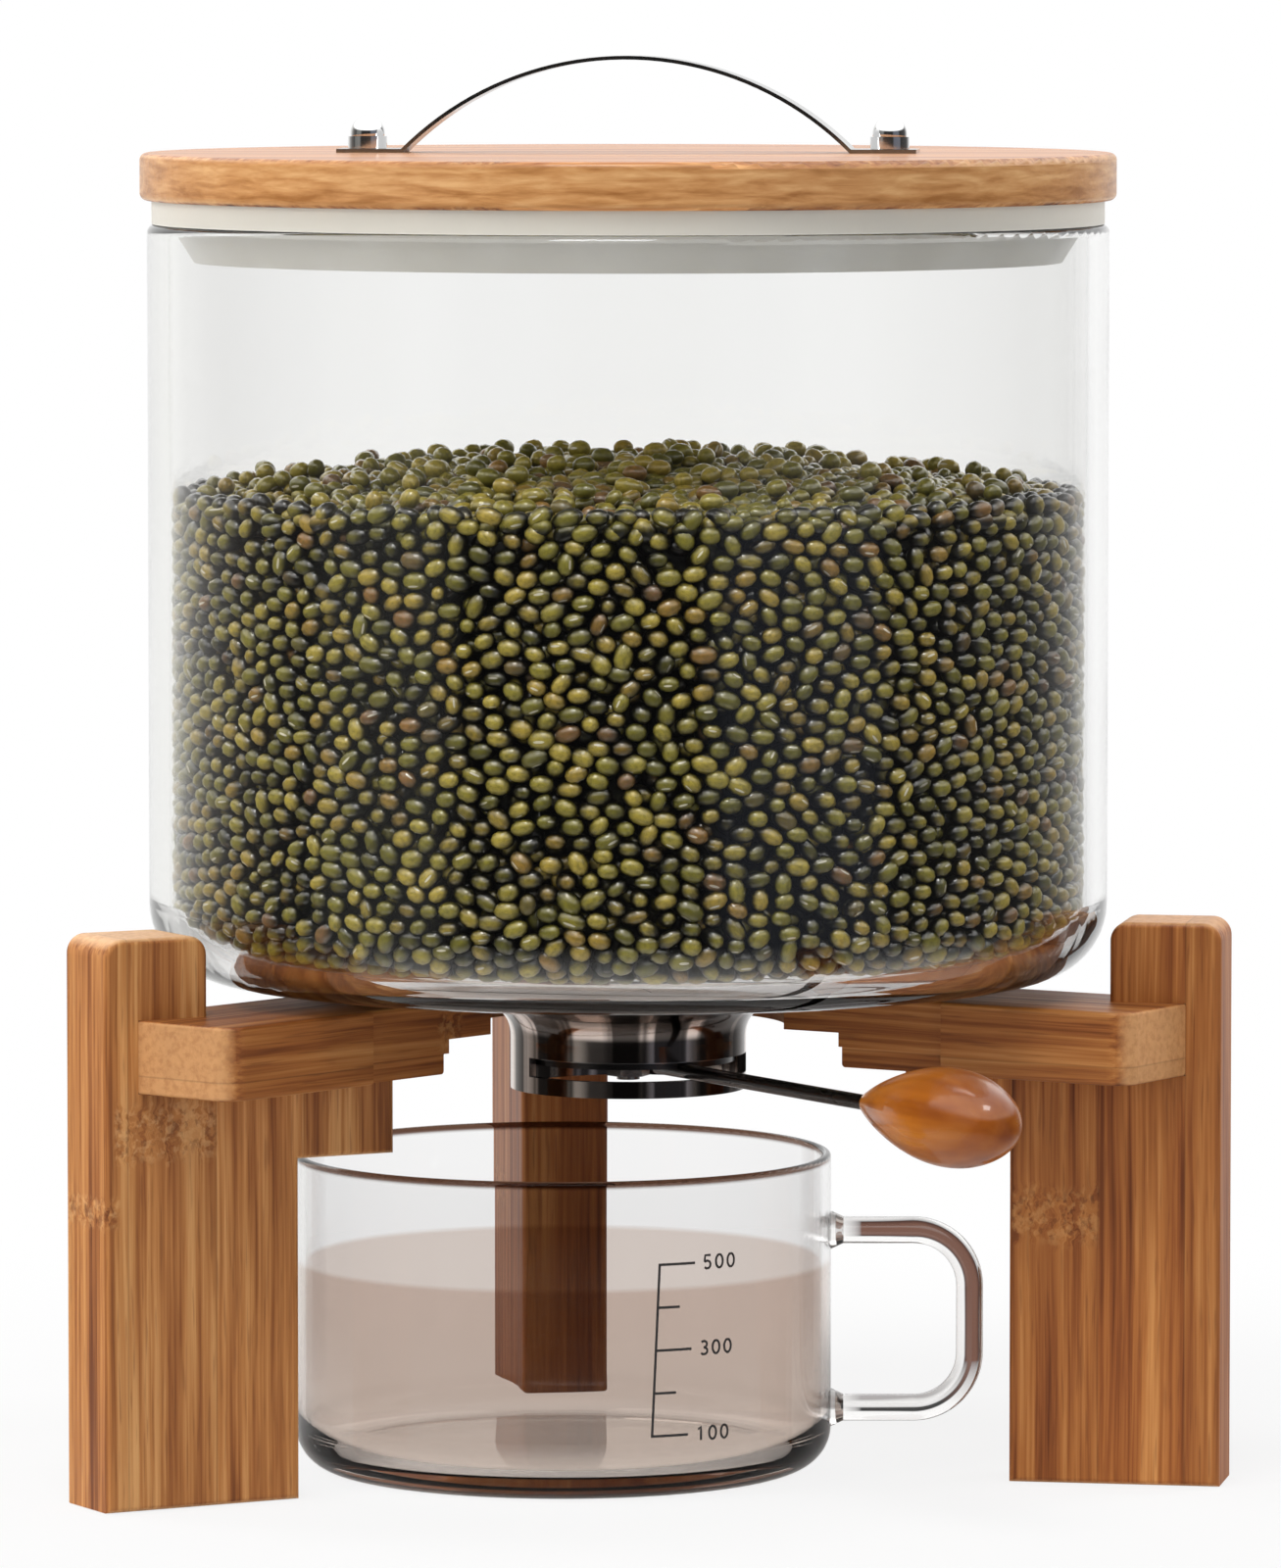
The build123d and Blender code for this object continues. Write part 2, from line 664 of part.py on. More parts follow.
def make_bar(side):
    """A front bar: a full-height block outside, stepped in front, and a thin tongue past the outlet."""
    with BuildPart() as bar:
        with BuildSketch(Plane.XY.offset(bar_z)):
            draw_bar(side, 0, bar_block_length)
        extrude(amount=bar_height)
        eased = bar.edges().group_by(Axis.Z)[0] + bar.edges().group_by(Axis.Z)[-1]
        fillet(eased, radius=bar_edge_round)
        with BuildSketch(Plane.XY.offset(bar_z)):
            with Locations(bar_place(side)):
                with Locations((bar_step_at, side * bar_width / 2)):
                    Rectangle(bar_block_length, 2 * bar_ply_depth, align=(Align.MIN, Align.CENTER))
        extrude(amount=bar_ply_height, mode=Mode.SUBTRACT)
        with BuildSketch(Plane.XY.offset(bar_tongue_z)):
            draw_bar(side, bar_block_length - bar_tongue_root, bar_length)
        extrude(amount=bar_tongue_height)
        with BuildSketch(Plane.XY.offset(bar_z)):
            Circle(bar_clear_radius)
        extrude(amount=bar_height, mode=Mode.SUBTRACT)
        lap_z = bar_tongue_z + (bar_tongue_height / 2 if side < 0 else 0)
        with BuildSketch(Plane.XY.offset(lap_z)):
            draw_bar(-side, bar_block_length, bar_length)
        extrude(amount=bar_tongue_height / 2, mode=Mode.SUBTRACT)
        arm_screw = polar(arm_screw_radius_at, -90 + side * (90 - leg_angle))
        with BuildSketch(Plane.XY.offset(arm_bottom_z)):
            with Locations(arm_screw):
                Circle(screw_radius + screw_gap)
        extrude(amount=arm_screw_length, mode=Mode.SUBTRACT)
        with BuildSketch(Plane.XY.offset(bar_z)):
            with Locations((0, lap_y - lap_screw_spacing / 2), (0, lap_y + lap_screw_spacing / 2)):
                Circle(screw_radius + screw_gap)
        extrude(amount=lap_screw_length, mode=Mode.SUBTRACT)
    return bar


# Three bamboo legs; the front ones are housed round the bars, the back one carries the back bar
leg_left = make_leg(180 + leg_angle, leg_inner_radius, leg_outer_radius, -1)
leg_left.part.label = "leg_left"
leg_right = make_leg(-leg_angle, leg_inner_radius, leg_outer_radius, 1)
leg_right.part.label = "leg_right"
leg_back = make_leg(90, back_leg_inner_radius, back_leg_outer_radius, 0)
leg_back.part.label = "leg_back"

# Two front bars, lapped over each other behind the outlet
bar_left = make_bar(-1)
bar_left.part.label = "bar_left"
bar_right = make_bar(1)
bar_right.part.label = "bar_right"

# Back bar: under the lap in front, full height behind it, on the back leg's shoulder
back_screw_y = (back_leg_inner_radius + leg_tip_inner_radius) / 2
with BuildPart() as bar_back:
    with BuildSketch(Plane.XY.offset(bar_z)):
        Rectangle(back_bar_width, leg_tip_inner_radius, align=(Align.CENTER, Align.MIN))
        Circle(bar_clear_radius, mode=Mode.SUBTRACT)
    extrude(amount=bar_height - bar_tongue_height)
    with BuildSketch(Plane.XY.offset(bar_tongue_z)):
        with Locations((0, back_bar_step_y)):
            Rectangle(back_bar_width, leg_tip_inner_radius - back_bar_step_y, align=(Align.CENTER, Align.MIN))
    extrude(amount=bar_tongue_height)
    with BuildSketch(Plane.XY.offset(bar_z)):
        with Locations((0, lap_y - lap_screw_spacing / 2), (0, lap_y + lap_screw_spacing / 2)):
            Circle(screw_radius + screw_gap)
        with Locations((0, back_screw_y)):
            Circle(screw_radius + screw_gap)
    extrude(amount=bar_height, mode=Mode.SUBTRACT)
    with BuildSketch(Plane.XY.offset(bar_z)):
        with Locations((0, lap_y - lap_screw_spacing / 2), (0, lap_y + lap_screw_spacing / 2)):
            Circle(screw_head_radius + screw_gap)
    extrude(amount=screw_head_height + screw_gap, mode=Mode.SUBTRACT)
    with BuildSketch(Plane.XY.offset(jar_bottom_z - screw_head_height - screw_gap)):
        with Locations((0, back_screw_y)):
            Circle(screw_head_radius + screw_gap)
    extrude(amount=screw_head_height + screw_gap, mode=Mode.SUBTRACT)
bar_back.part.label = "bar_back"

# Wood screws: up through each arm into its bar, up through the lap, and down into the back leg
with BuildPart() as stand_screws:
    arm_spots = [polar(arm_screw_radius_at, -90 + side * (90 - leg_angle)) for side in (-1, 1)]
    lap_spots = [(0, lap_y + side * lap_screw_spacing / 2) for side in (-1, 1)]
    for spot in arm_spots:
        with BuildSketch(Plane.XY.offset(arm_bottom_z)):
            with Locations(spot):
                Circle(screw_head_radius)
        extrude(amount=screw_head_height)
        with BuildSketch(Plane.XY.offset(arm_bottom_z)):
            with Locations(spot):
                Circle(screw_radius)
        extrude(amount=arm_screw_length)
    for spot in lap_spots:
        with BuildSketch(Plane.XY.offset(bar_z)):
            with Locations(spot):
                Circle(screw_head_radius)
        extrude(amount=screw_head_height)
        with BuildSketch(Plane.XY.offset(bar_z)):
            with Locations(spot):
                Circle(screw_radius)
        extrude(amount=lap_screw_length)
    with BuildSketch(Plane.XY.offset(jar_bottom_z - screw_head_height)):
        with Locations((0, back_screw_y)):
            Circle(screw_head_radius)
    extrude(amount=screw_head_height)
    with BuildSketch(Plane.XY.offset(jar_bottom_z - back_screw_length)):
        with Locations((0, back_screw_y)):
            Circle(screw_radius)
    extrude(amount=back_screw_length)
stand_screws.part.label = "stand_screws"

# Measuring cup and the glass rod handle melted on to it
with BuildPart() as measuring_cup:
    with BuildSketch(Plane(origin=(cup_x, cup_y, 0), x_dir=(1, 0, 0), z_dir=(0, -1, 0))):
        with BuildLine():
            cup_bore = cup_radius - cup_wall
            Line((0, 0), (cup_radius - cup_corner, 0))
            RadiusArc((cup_radius - cup_corner, 0), (cup_radius, cup_corner), -cup_corner)
            Line((cup_radius, cup_corner), (cup_radius, cup_height))
            Line((cup_radius, cup_height), (cup_bore, cup_height))
            Line((cup_bore, cup_height), (cup_bore, cup_floor + cup_inner_corner))
            RadiusArc(
                (cup_bore, cup_floor + cup_inner_corner),
                (cup_bore - cup_inner_corner, cup_floor),
                cup_inner_corner,
            )
            Line((cup_bore - cup_inner_corner, cup_floor), (0, cup_floor))
            Line((0, cup_floor), (0, 0))
        make_face()
    revolve(axis=Axis((cup_x, cup_y, 0), (0, 0, 1)))
    fillet(measuring_cup.edges().group_by(Axis.Z)[-1], radius=cup_rim_round)
measuring_cup.part.label = "measuring_cup"

handle_ux, handle_uy = polar(1.0, cup_handle_angle)
handle_plane = Plane(origin=(cup_x, cup_y, 0), x_dir=(handle_ux, handle_uy, 0), z_dir=(handle_uy, -handle_ux, 0))
handle_line_x = cup_handle_reach - cup_handle_radius
handle_start_x = cup_radius - cup_wall / 2
with BuildPart() as cup_handle:
    with BuildLine(handle_plane) as handle_path:
        FilletPolyline(
            (handle_start_x, cup_handle_bottom_z),
            (handle_line_x, cup_handle_bottom_z),
            (handle_line_x, cup_handle_top_z),
            (handle_start_x, cup_handle_top_z),
            radius=cup_handle_bend,
        )
    path_start = Plane(origin=handle_path.line @ 0, z_dir=handle_path.line % 0)
    with BuildSketch(path_start):
        Circle(cup_handle_radius)
    sweep(path=handle_path.line)
    for height in (cup_handle_bottom_z, cup_handle_top_z):
        pad_origin = handle_plane.from_local_coords((handle_start_x, height, 0))
        with BuildSketch(Plane(origin=pad_origin, z_dir=handle_plane.x_dir)):
            Circle(cup_pad_radius)
        extrude(amount=cup_wall / 2 + cup_pad_length, taper=cup_pad_taper)
    with BuildSketch(Plane.XY):
        with Locations((cup_x, cup_y)):
            Circle(cup_radius + screw_gap)
    extrude(amount=cup_height, mode=Mode.SUBTRACT)
cup_handle.part.label = "cup_handle"

# Write every piece
os.makedirs("parts", exist_ok=True)
export_step(glass_jar.part, "parts/glass_jar.step")
export_step(grain_fill.part, "parts/grain_fill.step")
export_step(grain_in_outlet.part, "parts/grain_in_outlet.step")
export_step(outlet_collar.part, "parts/outlet_collar.step")
export_step(lower_gasket.part, "parts/lower_gasket.step")
export_step(upper_gasket.part, "parts/upper_gasket.step")
export_step(inlet_flange.part, "parts/inlet_flange.step")
export_step(fixed_shutter.part, "parts/fixed_shutter.step")
export_step(gate_disc.part, "parts/gate_disc.step")
export_step(pivot_bolt.part, "parts/pivot_bolt.step")
export_step(pivot_washer.part, "parts/pivot_washer.step")
export_step(pivot_nut.part, "parts/pivot_nut.step")
export_step(lever_rod.part, "parts/lever_rod.step")
export_step(lever_knob.part, "parts/lever_knob.step")
export_step(lid_board.part, "parts/lid_board.step")
export_step(lid_seal.part, "parts/lid_seal.step")
export_step(lid_liner.part, "parts/lid_liner.step")
export_step(handle_strap.part, "parts/handle_strap.step")
export_step(lid_washers.part, "parts/lid_washers.step")
export_step(lid_bolts.part, "parts/lid_bolts.step")
export_step(cap_nuts.part, "parts/cap_nuts.step")
export_step(leg_left.part, "parts/leg_left.step")
export_step(leg_right.part, "parts/leg_right.step")
export_step(leg_back.part, "parts/leg_back.step")
export_step(bar_left.part, "parts/bar_left.step")
export_step(bar_right.part, "parts/bar_right.step")
export_step(bar_back.part, "parts/bar_back.step")
export_step(stand_screws.part, "parts/stand_screws.step")
export_step(measuring_cup.part, "parts/measuring_cup.step")
export_step(cup_handle.part, "parts/cup_handle.step")
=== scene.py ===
import math

import bmesh
import bpy
import numpy as np
from mathutils import Matrix, Vector
from mathutils.kdtree import KDTree


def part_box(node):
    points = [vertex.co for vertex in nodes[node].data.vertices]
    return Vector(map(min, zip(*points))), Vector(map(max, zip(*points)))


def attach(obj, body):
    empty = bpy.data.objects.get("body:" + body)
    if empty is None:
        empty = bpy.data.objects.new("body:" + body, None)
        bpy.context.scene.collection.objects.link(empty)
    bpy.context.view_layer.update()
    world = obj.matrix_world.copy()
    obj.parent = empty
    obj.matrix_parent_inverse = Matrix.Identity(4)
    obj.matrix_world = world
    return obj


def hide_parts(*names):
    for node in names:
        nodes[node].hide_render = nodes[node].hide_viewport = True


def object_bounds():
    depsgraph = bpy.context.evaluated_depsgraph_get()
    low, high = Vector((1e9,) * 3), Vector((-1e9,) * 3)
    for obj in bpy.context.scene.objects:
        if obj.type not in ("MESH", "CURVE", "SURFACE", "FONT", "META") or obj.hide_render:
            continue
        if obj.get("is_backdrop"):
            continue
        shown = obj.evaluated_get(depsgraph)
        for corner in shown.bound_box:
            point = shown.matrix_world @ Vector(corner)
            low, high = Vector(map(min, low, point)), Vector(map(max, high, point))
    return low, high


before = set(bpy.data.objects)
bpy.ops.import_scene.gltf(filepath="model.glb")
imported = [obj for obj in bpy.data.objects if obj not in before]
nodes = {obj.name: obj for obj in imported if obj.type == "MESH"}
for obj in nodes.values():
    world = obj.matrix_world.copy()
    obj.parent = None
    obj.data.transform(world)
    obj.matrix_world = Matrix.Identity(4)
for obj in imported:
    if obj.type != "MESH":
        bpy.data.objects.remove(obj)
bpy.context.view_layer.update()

# Grain dispenser: glass jar of beans on a bamboo stand, with a glass measuring cup.
# Metres, in the row frame: z up, the front is -y, the jar's axis is the z axis.

MM = 0.001
UP = (0.0, 0.0, 1.0)
WHITE = (1.0, 1.0, 1.0, 1.0)


def polar(angle):
    """The level unit vector at an angle in degrees, counted from x towards y."""
    return (math.cos(math.radians(angle)), math.sin(math.radians(angle)), 0.0)


# The photograph is taken from the front, with the stand turned by this angle seen from above
STAND_TURN = 9.2
PHOTO_RIGHT, PHOTO_AWAY = polar(-STAND_TURN), polar(90.0 - STAND_TURN)


def photo_place(x, y, z):
    """A point given as seen in the photograph (x right, y away, z up, in metres), in the row frame."""
    return Matrix.Rotation(math.radians(-STAND_TURN), 3, "Z") @ Vector((x, y, z))


def around(azimuth, distance, height):
    """A place round the object: 0 degrees is the photograph's front, positive is to its right."""
    a = math.radians(azimuth)
    return photo_place(math.sin(a) * distance, -math.cos(a) * distance, height)


# Node helpers


def linear(r, g, b):
    """An sRGB colour, 0 to 255, as the linear colour that a socket takes."""
    out = []
    for v in (r, g, b):
        v /= 255
        out.append(v / 12.92 if v <= 0.04045 else ((v + 0.055) / 1.055) ** 2.4)
    return (*out, 1.0)


def material(name):
    """A new material, its node tree and its Principled shader."""
    mat = bpy.data.materials.new(name)
    mat.use_nodes = True
    return mat, mat.node_tree, mat.node_tree.nodes["Principled BSDF"]


def put(socket, value):
    """Link a socket, or set a plain value."""
    if isinstance(value, bpy.types.NodeSocket):
        socket.node.id_data.links.new(value, socket)
    else:
        socket.default_value = value


def calc(tree, operation, *values):
    """The result of a Math node."""
    node = tree.nodes.new("ShaderNodeMath")
    node.operation = operation
    for socket, value in zip(node.inputs, values):
        put(socket, value)
    return node.outputs[0]


def dot(tree, vector, direction):
    """How far a vector reaches along a fixed direction."""
    node = tree.nodes.new("ShaderNodeVectorMath")
    node.operation = "DOT_PRODUCT"
    put(node.inputs[0], vector)
    node.inputs[1].default_value = direction
    return node.outputs["Value"]


def pack_vector(tree, x, y, z):
    """A vector of three values."""
    node = tree.nodes.new("ShaderNodeCombineXYZ")
    for socket, value in zip(node.inputs, (x, y, z)):
        put(socket, value)
    return node.outputs[0]


def unpack(tree, vector):
    """The x, y and z of a vector."""
    node = tree.nodes.new("ShaderNodeSeparateXYZ")
    put(node.inputs[0], vector)
    return tuple(node.outputs)


def noise(tree, vector, scale, detail=2.0, roughness=0.5, distortion=0.0):
    """Soft noise about 0.5."""
    node = tree.nodes.new("ShaderNodeTexNoise")
    put(node.inputs["Vector"], vector)
    node.inputs["Scale"].default_value = scale
    node.inputs["Detail"].default_value = detail
    node.inputs["Roughness"].default_value = roughness
    node.inputs["Distortion"].default_value = distortion
    return node.outputs[0]


def spread(tree, value, low, high, out_low=0.0, out_high=1.0, smooth=False):
    """A value mapped from low..high to out_low..out_high, held at the ends."""
    node = tree.nodes.new("ShaderNodeMapRange")
    node.interpolation_type = "SMOOTHSTEP" if smooth else "LINEAR"
    put(node.inputs["Value"], value)
    for name, limit in zip(("From Min", "From Max", "To Min", "To Max"), (low, high, out_low, out_high)):
        node.inputs[name].default_value = limit
    return node.outputs[0]


def ramp(tree, value, stops):
    """A colour looked up from (place, colour) stops."""
    node = tree.nodes.new("ShaderNodeValToRGB")
    elements = node.color_ramp.elements
    while len(elements) < len(stops):
        elements.new(0.5)
    for element, (place, colour) in zip(elements, stops):
        element.position = place
        element.color = colour
    put(node.inputs[0], value)
    return node.outputs[0]


def blend_colours(tree, factor, a, b, mode="MIX"):
    """Colour a with b over it by a factor."""
    node = tree.nodes.new("ShaderNodeMix")
    node.data_type = "RGBA"
    node.blend_type = mode
    put(node.inputs["Factor"], factor)
    put(node.inputs["A"], a)
    put(node.inputs["B"], b)
    return node.outputs["Result"]


def grey(tree, value):
    """A value as a grey colour."""
    node = tree.nodes.new("ShaderNodeCombineColor")
    for socket in node.inputs[:3]:
        put(socket, value)
    return node.outputs[0]


def bump(tree, height, strength, distance):
    """A normal that is tilted by a height."""
    node = tree.nodes.new("ShaderNodeBump")
    node.inputs["Strength"].default_value = strength
    node.inputs["Distance"].default_value = distance
    put(node.inputs["Height"], height)
    return node.outputs[0]


def place_and_normal(tree):
    """The place on a piece and the direction that its surface faces there."""
    node = tree.nodes.new("ShaderNodeTexCoord")
    return node.outputs["Object"], node.outputs["Normal"]


def place_of(tree):
    """The place on a piece."""
    return place_and_normal(tree)[0]


def attribute(tree, name):
    """A mesh attribute's outputs."""
    node = tree.nodes.new("ShaderNodeAttribute")
    node.attribute_name = name
    return node.outputs


def mixed(tree, factor, first, second):
    """Two shaders mixed by a factor."""
    node = tree.nodes.new("ShaderNodeMixShader")
    for socket, value in zip(node.inputs, (factor, first, second)):
        put(socket, value)
    return node.outputs[0]


def dress(mat, *names):
    """Give CAD nodes their material."""
    for name in names:
        obj = nodes[name]
        if not obj.material_slots:
            obj.data.materials.append(mat)
        for slot in obj.material_slots:
            slot.material = mat


# Bamboo

BAMBOO_TONES = [(0.34, linear(102, 52, 18)), (0.43, linear(148, 88, 40)),
                (0.53, linear(182, 121, 64)), (0.66, linear(214, 160, 100))]
END_GRAIN_TONES = [(0.36, linear(206, 158, 112)), (0.56, linear(224, 178, 130))]
LID_RIM_TONES = [(0.36, linear(150, 96, 44)), (0.50, linear(186, 132, 78)), (0.64, linear(210, 162, 108))]
DASH_COLOUR = linear(108, 58, 26)
KNOT_PALE, KNOT_DARK = linear(216, 168, 112), linear(96, 50, 22)
# The right leg and the parts under the jar are of redder strips
RED, DEEP_RED = (0.98, 0.85, 0.70, 1.0), (0.92, 0.74, 0.58, 1.0)
# How much darker or lighter a strip can be than its neighbours, and the thin dark seam between two
STRIP_SHADES = (0.84, 1.08)
SEAM_WIDTH, SEAM_SHADE = 0.00030, 0.74
KNOT_EDGE = 0.0006


def streaks(tree, run, side, deep, along_scale, across_scale, detail, roughness=0.5):
    """Noise drawn out along run: low scales make long streaks."""
    spot = pack_vector(tree, calc(tree, "MULTIPLY", run, along_scale),
                       calc(tree, "MULTIPLY", side, across_scale),
                       calc(tree, "MULTIPLY", deep, across_scale))
    return noise(tree, spot, 1.0, detail, roughness)


def knot_band(tree, run, side, deep, low, high, place, half):
    """A node's rough band, 0 to 1, on the strip between low and high."""
    wobble = streaks(tree, run, side, deep, 40.0, 260.0, 2.0)
    wavy_run = calc(tree, "MULTIPLY_ADD", wobble, 1.4 * half, run)
    off = calc(tree, "ABSOLUTE", calc(tree, "SUBTRACT", wavy_run, place + 0.7 * half))
    level = spread(tree, off, 0.45 * half, 1.15 * half, 1.0, 0.0, smooth=True)
    inside = calc(tree, "MULTIPLY", spread(tree, side, low - KNOT_EDGE, low + KNOT_EDGE, smooth=True),
                  spread(tree, side, high - KNOT_EDGE, high + KNOT_EDGE, 1.0, 0.0, smooth=True))
    return calc(tree, "MULTIPLY", level, inside)


def bamboo(name, along, across, width, shift, tone=1.0, knots=(), seed=0.0, coat=0.06, coat_roughness=0.24,
           hue=WHITE):
    """Laminated bamboo: strips of one width side by side across, with fibres along.

    shift is the place of a seam, and knots are (low, high, place, half height) of nodes' bands.
    """
    mat, tree, shader = material(name)
    along, across = Vector(along).normalized(), Vector(across).normalized()
    where, normal = place_and_normal(tree)
    run = dot(tree, where, along)
    side = dot(tree, where, across)
    deep = dot(tree, where, along.cross(across))
    strips = calc(tree, "DIVIDE", calc(tree, "SUBTRACT", side, shift), width)
    chance = tree.nodes.new("ShaderNodeTexWhiteNoise")
    chance.noise_dimensions = "1D"
    put(chance.inputs["W"], calc(tree, "ADD", calc(tree, "FLOOR", strips), seed))
    own = chance.outputs["Value"]
    run_own = calc(tree, "MULTIPLY_ADD", own, 3.0, run)

    band = 0.0
    for knot in knots:
        band = calc(tree, "ADD", band, knot_band(tree, run, side, deep, *knot))

    # Fibres run straight but for a slow wave, and swirl in a node's band
    wave = streaks(tree, run_own, side, deep, 9.0, 26.0, 2.0)
    swirl = calc(tree, "SUBTRACT", streaks(tree, run, side, deep, 330.0, 330.0, 2.0), 0.5)
    swirl = calc(tree, "MULTIPLY", swirl, band)
    bent = calc(tree, "MULTIPLY_ADD", swirl, 0.0075, calc(tree, "MULTIPLY_ADD", wave, 0.0026, side))
    fibre = streaks(tree, run_own, bent, deep, 14.0, 760.0, 3.0, 0.62)
    broad = streaks(tree, run_own, bent, deep, 6.0, 170.0, 2.0)
    dashes = spread(tree, streaks(tree, run_own, bent, deep, 75.0, 1350.0, 1.0), 0.58, 0.72, smooth=True)

    mix = calc(tree, "ADD", calc(tree, "MULTIPLY", fibre, 0.52), calc(tree, "MULTIPLY", broad, 0.48))
    colour = ramp(tree, mix, BAMBOO_TONES)
    colour = blend_colours(tree, calc(tree, "MULTIPLY", dashes, 0.34), colour, DASH_COLOUR)
    pale = spread(tree, streaks(tree, run, side, deep, 620.0, 560.0, 2.0), 0.46, 0.62, smooth=True)
    pale = calc(tree, "MULTIPLY", band, pale)
    colour = blend_colours(tree, calc(tree, "MULTIPLY", pale, 0.40), colour, KNOT_PALE)
    specks = spread(tree, streaks(tree, run, side, deep, 420.0, 640.0, 3.0, 0.6), 0.52, 0.64, smooth=True)
    specks = calc(tree, "MULTIPLY", band, specks)
    colour = blend_colours(tree, calc(tree, "MULTIPLY", specks, 0.46), colour, KNOT_DARK)

    # Cut ends are smooth and even
    end_face = spread(tree, calc(tree, "ABSOLUTE", dot(tree, normal, along)), 0.45, 0.85)
    end_colour = ramp(tree, noise(tree, where, 620.0, 3.0, 0.6), END_GRAIN_TONES)
    colour = blend_colours(tree, calc(tree, "MULTIPLY", end_face, 0.88), colour, end_colour)

    light = calc(tree, "MULTIPLY", spread(tree, own, 0, 1, *STRIP_SHADES), tone)
    part = calc(tree, "FRACT", strips)
    edge = calc(tree, "MINIMUM", part, calc(tree, "SUBTRACT", 1.0, part))
    light = calc(tree, "MULTIPLY", light, spread(tree, edge, 0.0, SEAM_WIDTH / width, SEAM_SHADE, 1.0))
    light_colour = blend_colours(tree, 1.0, hue, grey(tree, light), "MULTIPLY")
    put(shader.inputs["Base Color"], blend_colours(tree, 1.0, colour, light_colour, "MULTIPLY"))
    put(shader.inputs["Roughness"], spread(tree, fibre, 0.3, 0.7, 0.58, 0.44))
    shader.inputs["Specular IOR Level"].default_value = 0.35
    shader.inputs["Coat Weight"].default_value = coat
    shader.inputs["Coat Roughness"].default_value = coat_roughness
    height = calc(tree, "ADD", calc(tree, "MULTIPLY", fibre, 0.6), calc(tree, "MULTIPLY", specks, -0.7))
    put(shader.inputs["Normal"], bump(tree, height, 0.22, 0.00025))
    return mat


def lid_wood(name):
    """The lid's bamboo: strips across its top, and a rim that is sanded smooth, with fine lines round it."""
    mat = bamboo(name, PHOTO_RIGHT, PHOTO_AWAY, width=0.026, shift=0.004, tone=1.16,
                 knots=[(-0.100, -0.074, -0.028, 0.010)], seed=67.0, coat=0.35, coat_roughness=0.14)
    tree = mat.node_tree
    shader = tree.nodes["Principled BSDF"]
    where, normal = place_and_normal(tree)
    x, y, z = unpack(tree, where)
    angle = calc(tree, "ARCTAN2", y, x)
    fine = pack_vector(tree, calc(tree, "MULTIPLY", angle, 9.0), calc(tree, "MULTIPLY", z, 560.0), 0.0)
    coarse = pack_vector(tree, calc(tree, "MULTIPLY", angle, 1.3), calc(tree, "MULTIPLY", z, 210.0), 3.0)
    mix = calc(tree, "ADD", calc(tree, "MULTIPLY", noise(tree, fine, 1.0, 4.0, 0.55, 0.3), 0.6),
               calc(tree, "MULTIPLY", noise(tree, coarse, 1.0, 2.0), 0.4))
    rim = ramp(tree, mix, LID_RIM_TONES)
    rim_part = spread(tree, calc(tree, "ABSOLUTE", dot(tree, normal, UP)), 0.35, 0.75, 1.0, 0.0)
    top_colour = shader.inputs["Base Color"].links[0].from_socket
    put(shader.inputs["Base Color"], blend_colours(tree, rim_part, top_colour, rim))
    return mat


# Degrees by which the side legs' width and the front bars' length run forward, out from straight across
LEG_ANGLE, BAR_ANGLE = 19.5, 41.0
# The bars' strips lie flat: their thickness, and the height of one seam
BAR_STRIP, BAR_SEAM = 0.0117, 0.0914

dress(bamboo("bamboo_leg_left", UP, polar(180 + LEG_ANGLE), width=0.0205, shift=0.0215, seed=3.0,
             knots=[(0.1035, 0.1270, 0.079, 0.0066), (0.1262, 0.1300, 0.0625, 0.0034)]), "leg_left")
dress(bamboo("bamboo_leg_right", UP, polar(-LEG_ANGLE), width=0.0185, shift=0.0290, tone=0.90, seed=11.0,
             knots=[(0.0845, 0.1030, 0.0575, 0.0065)], hue=RED), "leg_right")
# The back leg's and the bars' low tones are partly darker wood and partly painted shade under the jar
dress(bamboo("bamboo_leg_back", UP, (0, 1, 0), width=0.0190, shift=0.0150, tone=0.62, seed=23.0,
             knots=[(0.115, 0.134, 0.047, 0.005)], hue=DEEP_RED), "leg_back")
dress(bamboo("bamboo_bar_left", polar(BAR_ANGLE), UP, BAR_STRIP, BAR_SEAM, tone=0.80, seed=31.0,
             knots=[(0.0914, 0.104, -0.045, 0.004)], hue=RED), "bar_left")
dress(bamboo("bamboo_bar_right", polar(180 - BAR_ANGLE), UP, BAR_STRIP, BAR_SEAM, tone=0.80, seed=43.0,
             hue=RED), "bar_right")
dress(bamboo("bamboo_bar_back", (0, 1, 0), UP, BAR_STRIP, BAR_SEAM, tone=0.72, seed=51.0,
             hue=RED), "bar_back")
dress(lid_wood("bamboo_lid"), "lid_board")


# Glass

GLASS_IOR = 1.47
GLASS_SHADOW = (0.93, 0.93, 0.93, 1.0)
# The cup's tints by the share of its height: beige below, painted background seen through the glass; clear
# above; and a brown line round the rim, painted refraction
CUP_TINTS_AND_PAINTED_REFRACTION = [(0.0, (0.84, 0.81, 0.78, 1.0)), (0.10, (0.74, 0.67, 0.62, 1.0)),
             (0.652, (0.715, 0.632, 0.584, 1.0)), (0.668, (0.906, 0.903, 0.903, 1.0)),
             (0.974, (0.92, 0.92, 0.92, 1.0)), (0.984, (0.12, 0.06, 0.04, 1.0)),
             (1.0, (0.16, 0.09, 0.06, 1.0))]
CUP_IOR = 1.24
CUP_ABSORPTION = ((0.62, 0.50, 0.42, 1.0), 6.0)
# The handle's tints from the inside of its curve, 0, to the outside, 1: painted refraction and shade of the
# wood behind the rod
PALE, BROWN, DARK = (0.95, 0.94, 0.93, 1.0), (0.050, 0.014, 0.008, 1.0), (0.004, 0.001, 0.001, 1.0)
SHADED, BLACK = (0.22, 0.20, 0.20, 1.0), (0.002, 0.002, 0.002, 1.0)
HANDLE_UPPER_PAINTED_REFRACTION = [(0.28, PALE), (0.33, DARK), (0.42, BROWN), (0.72, BROWN), (0.84, DARK), (0.93, PALE)]
HANDLE_LOWER_PAINTED_REFRACTION = [(0.16, SHADED), (0.24, PALE), (0.41, PALE), (0.46, BLACK), (0.57, BLACK), (0.61, PALE),
                      (0.90, PALE)]
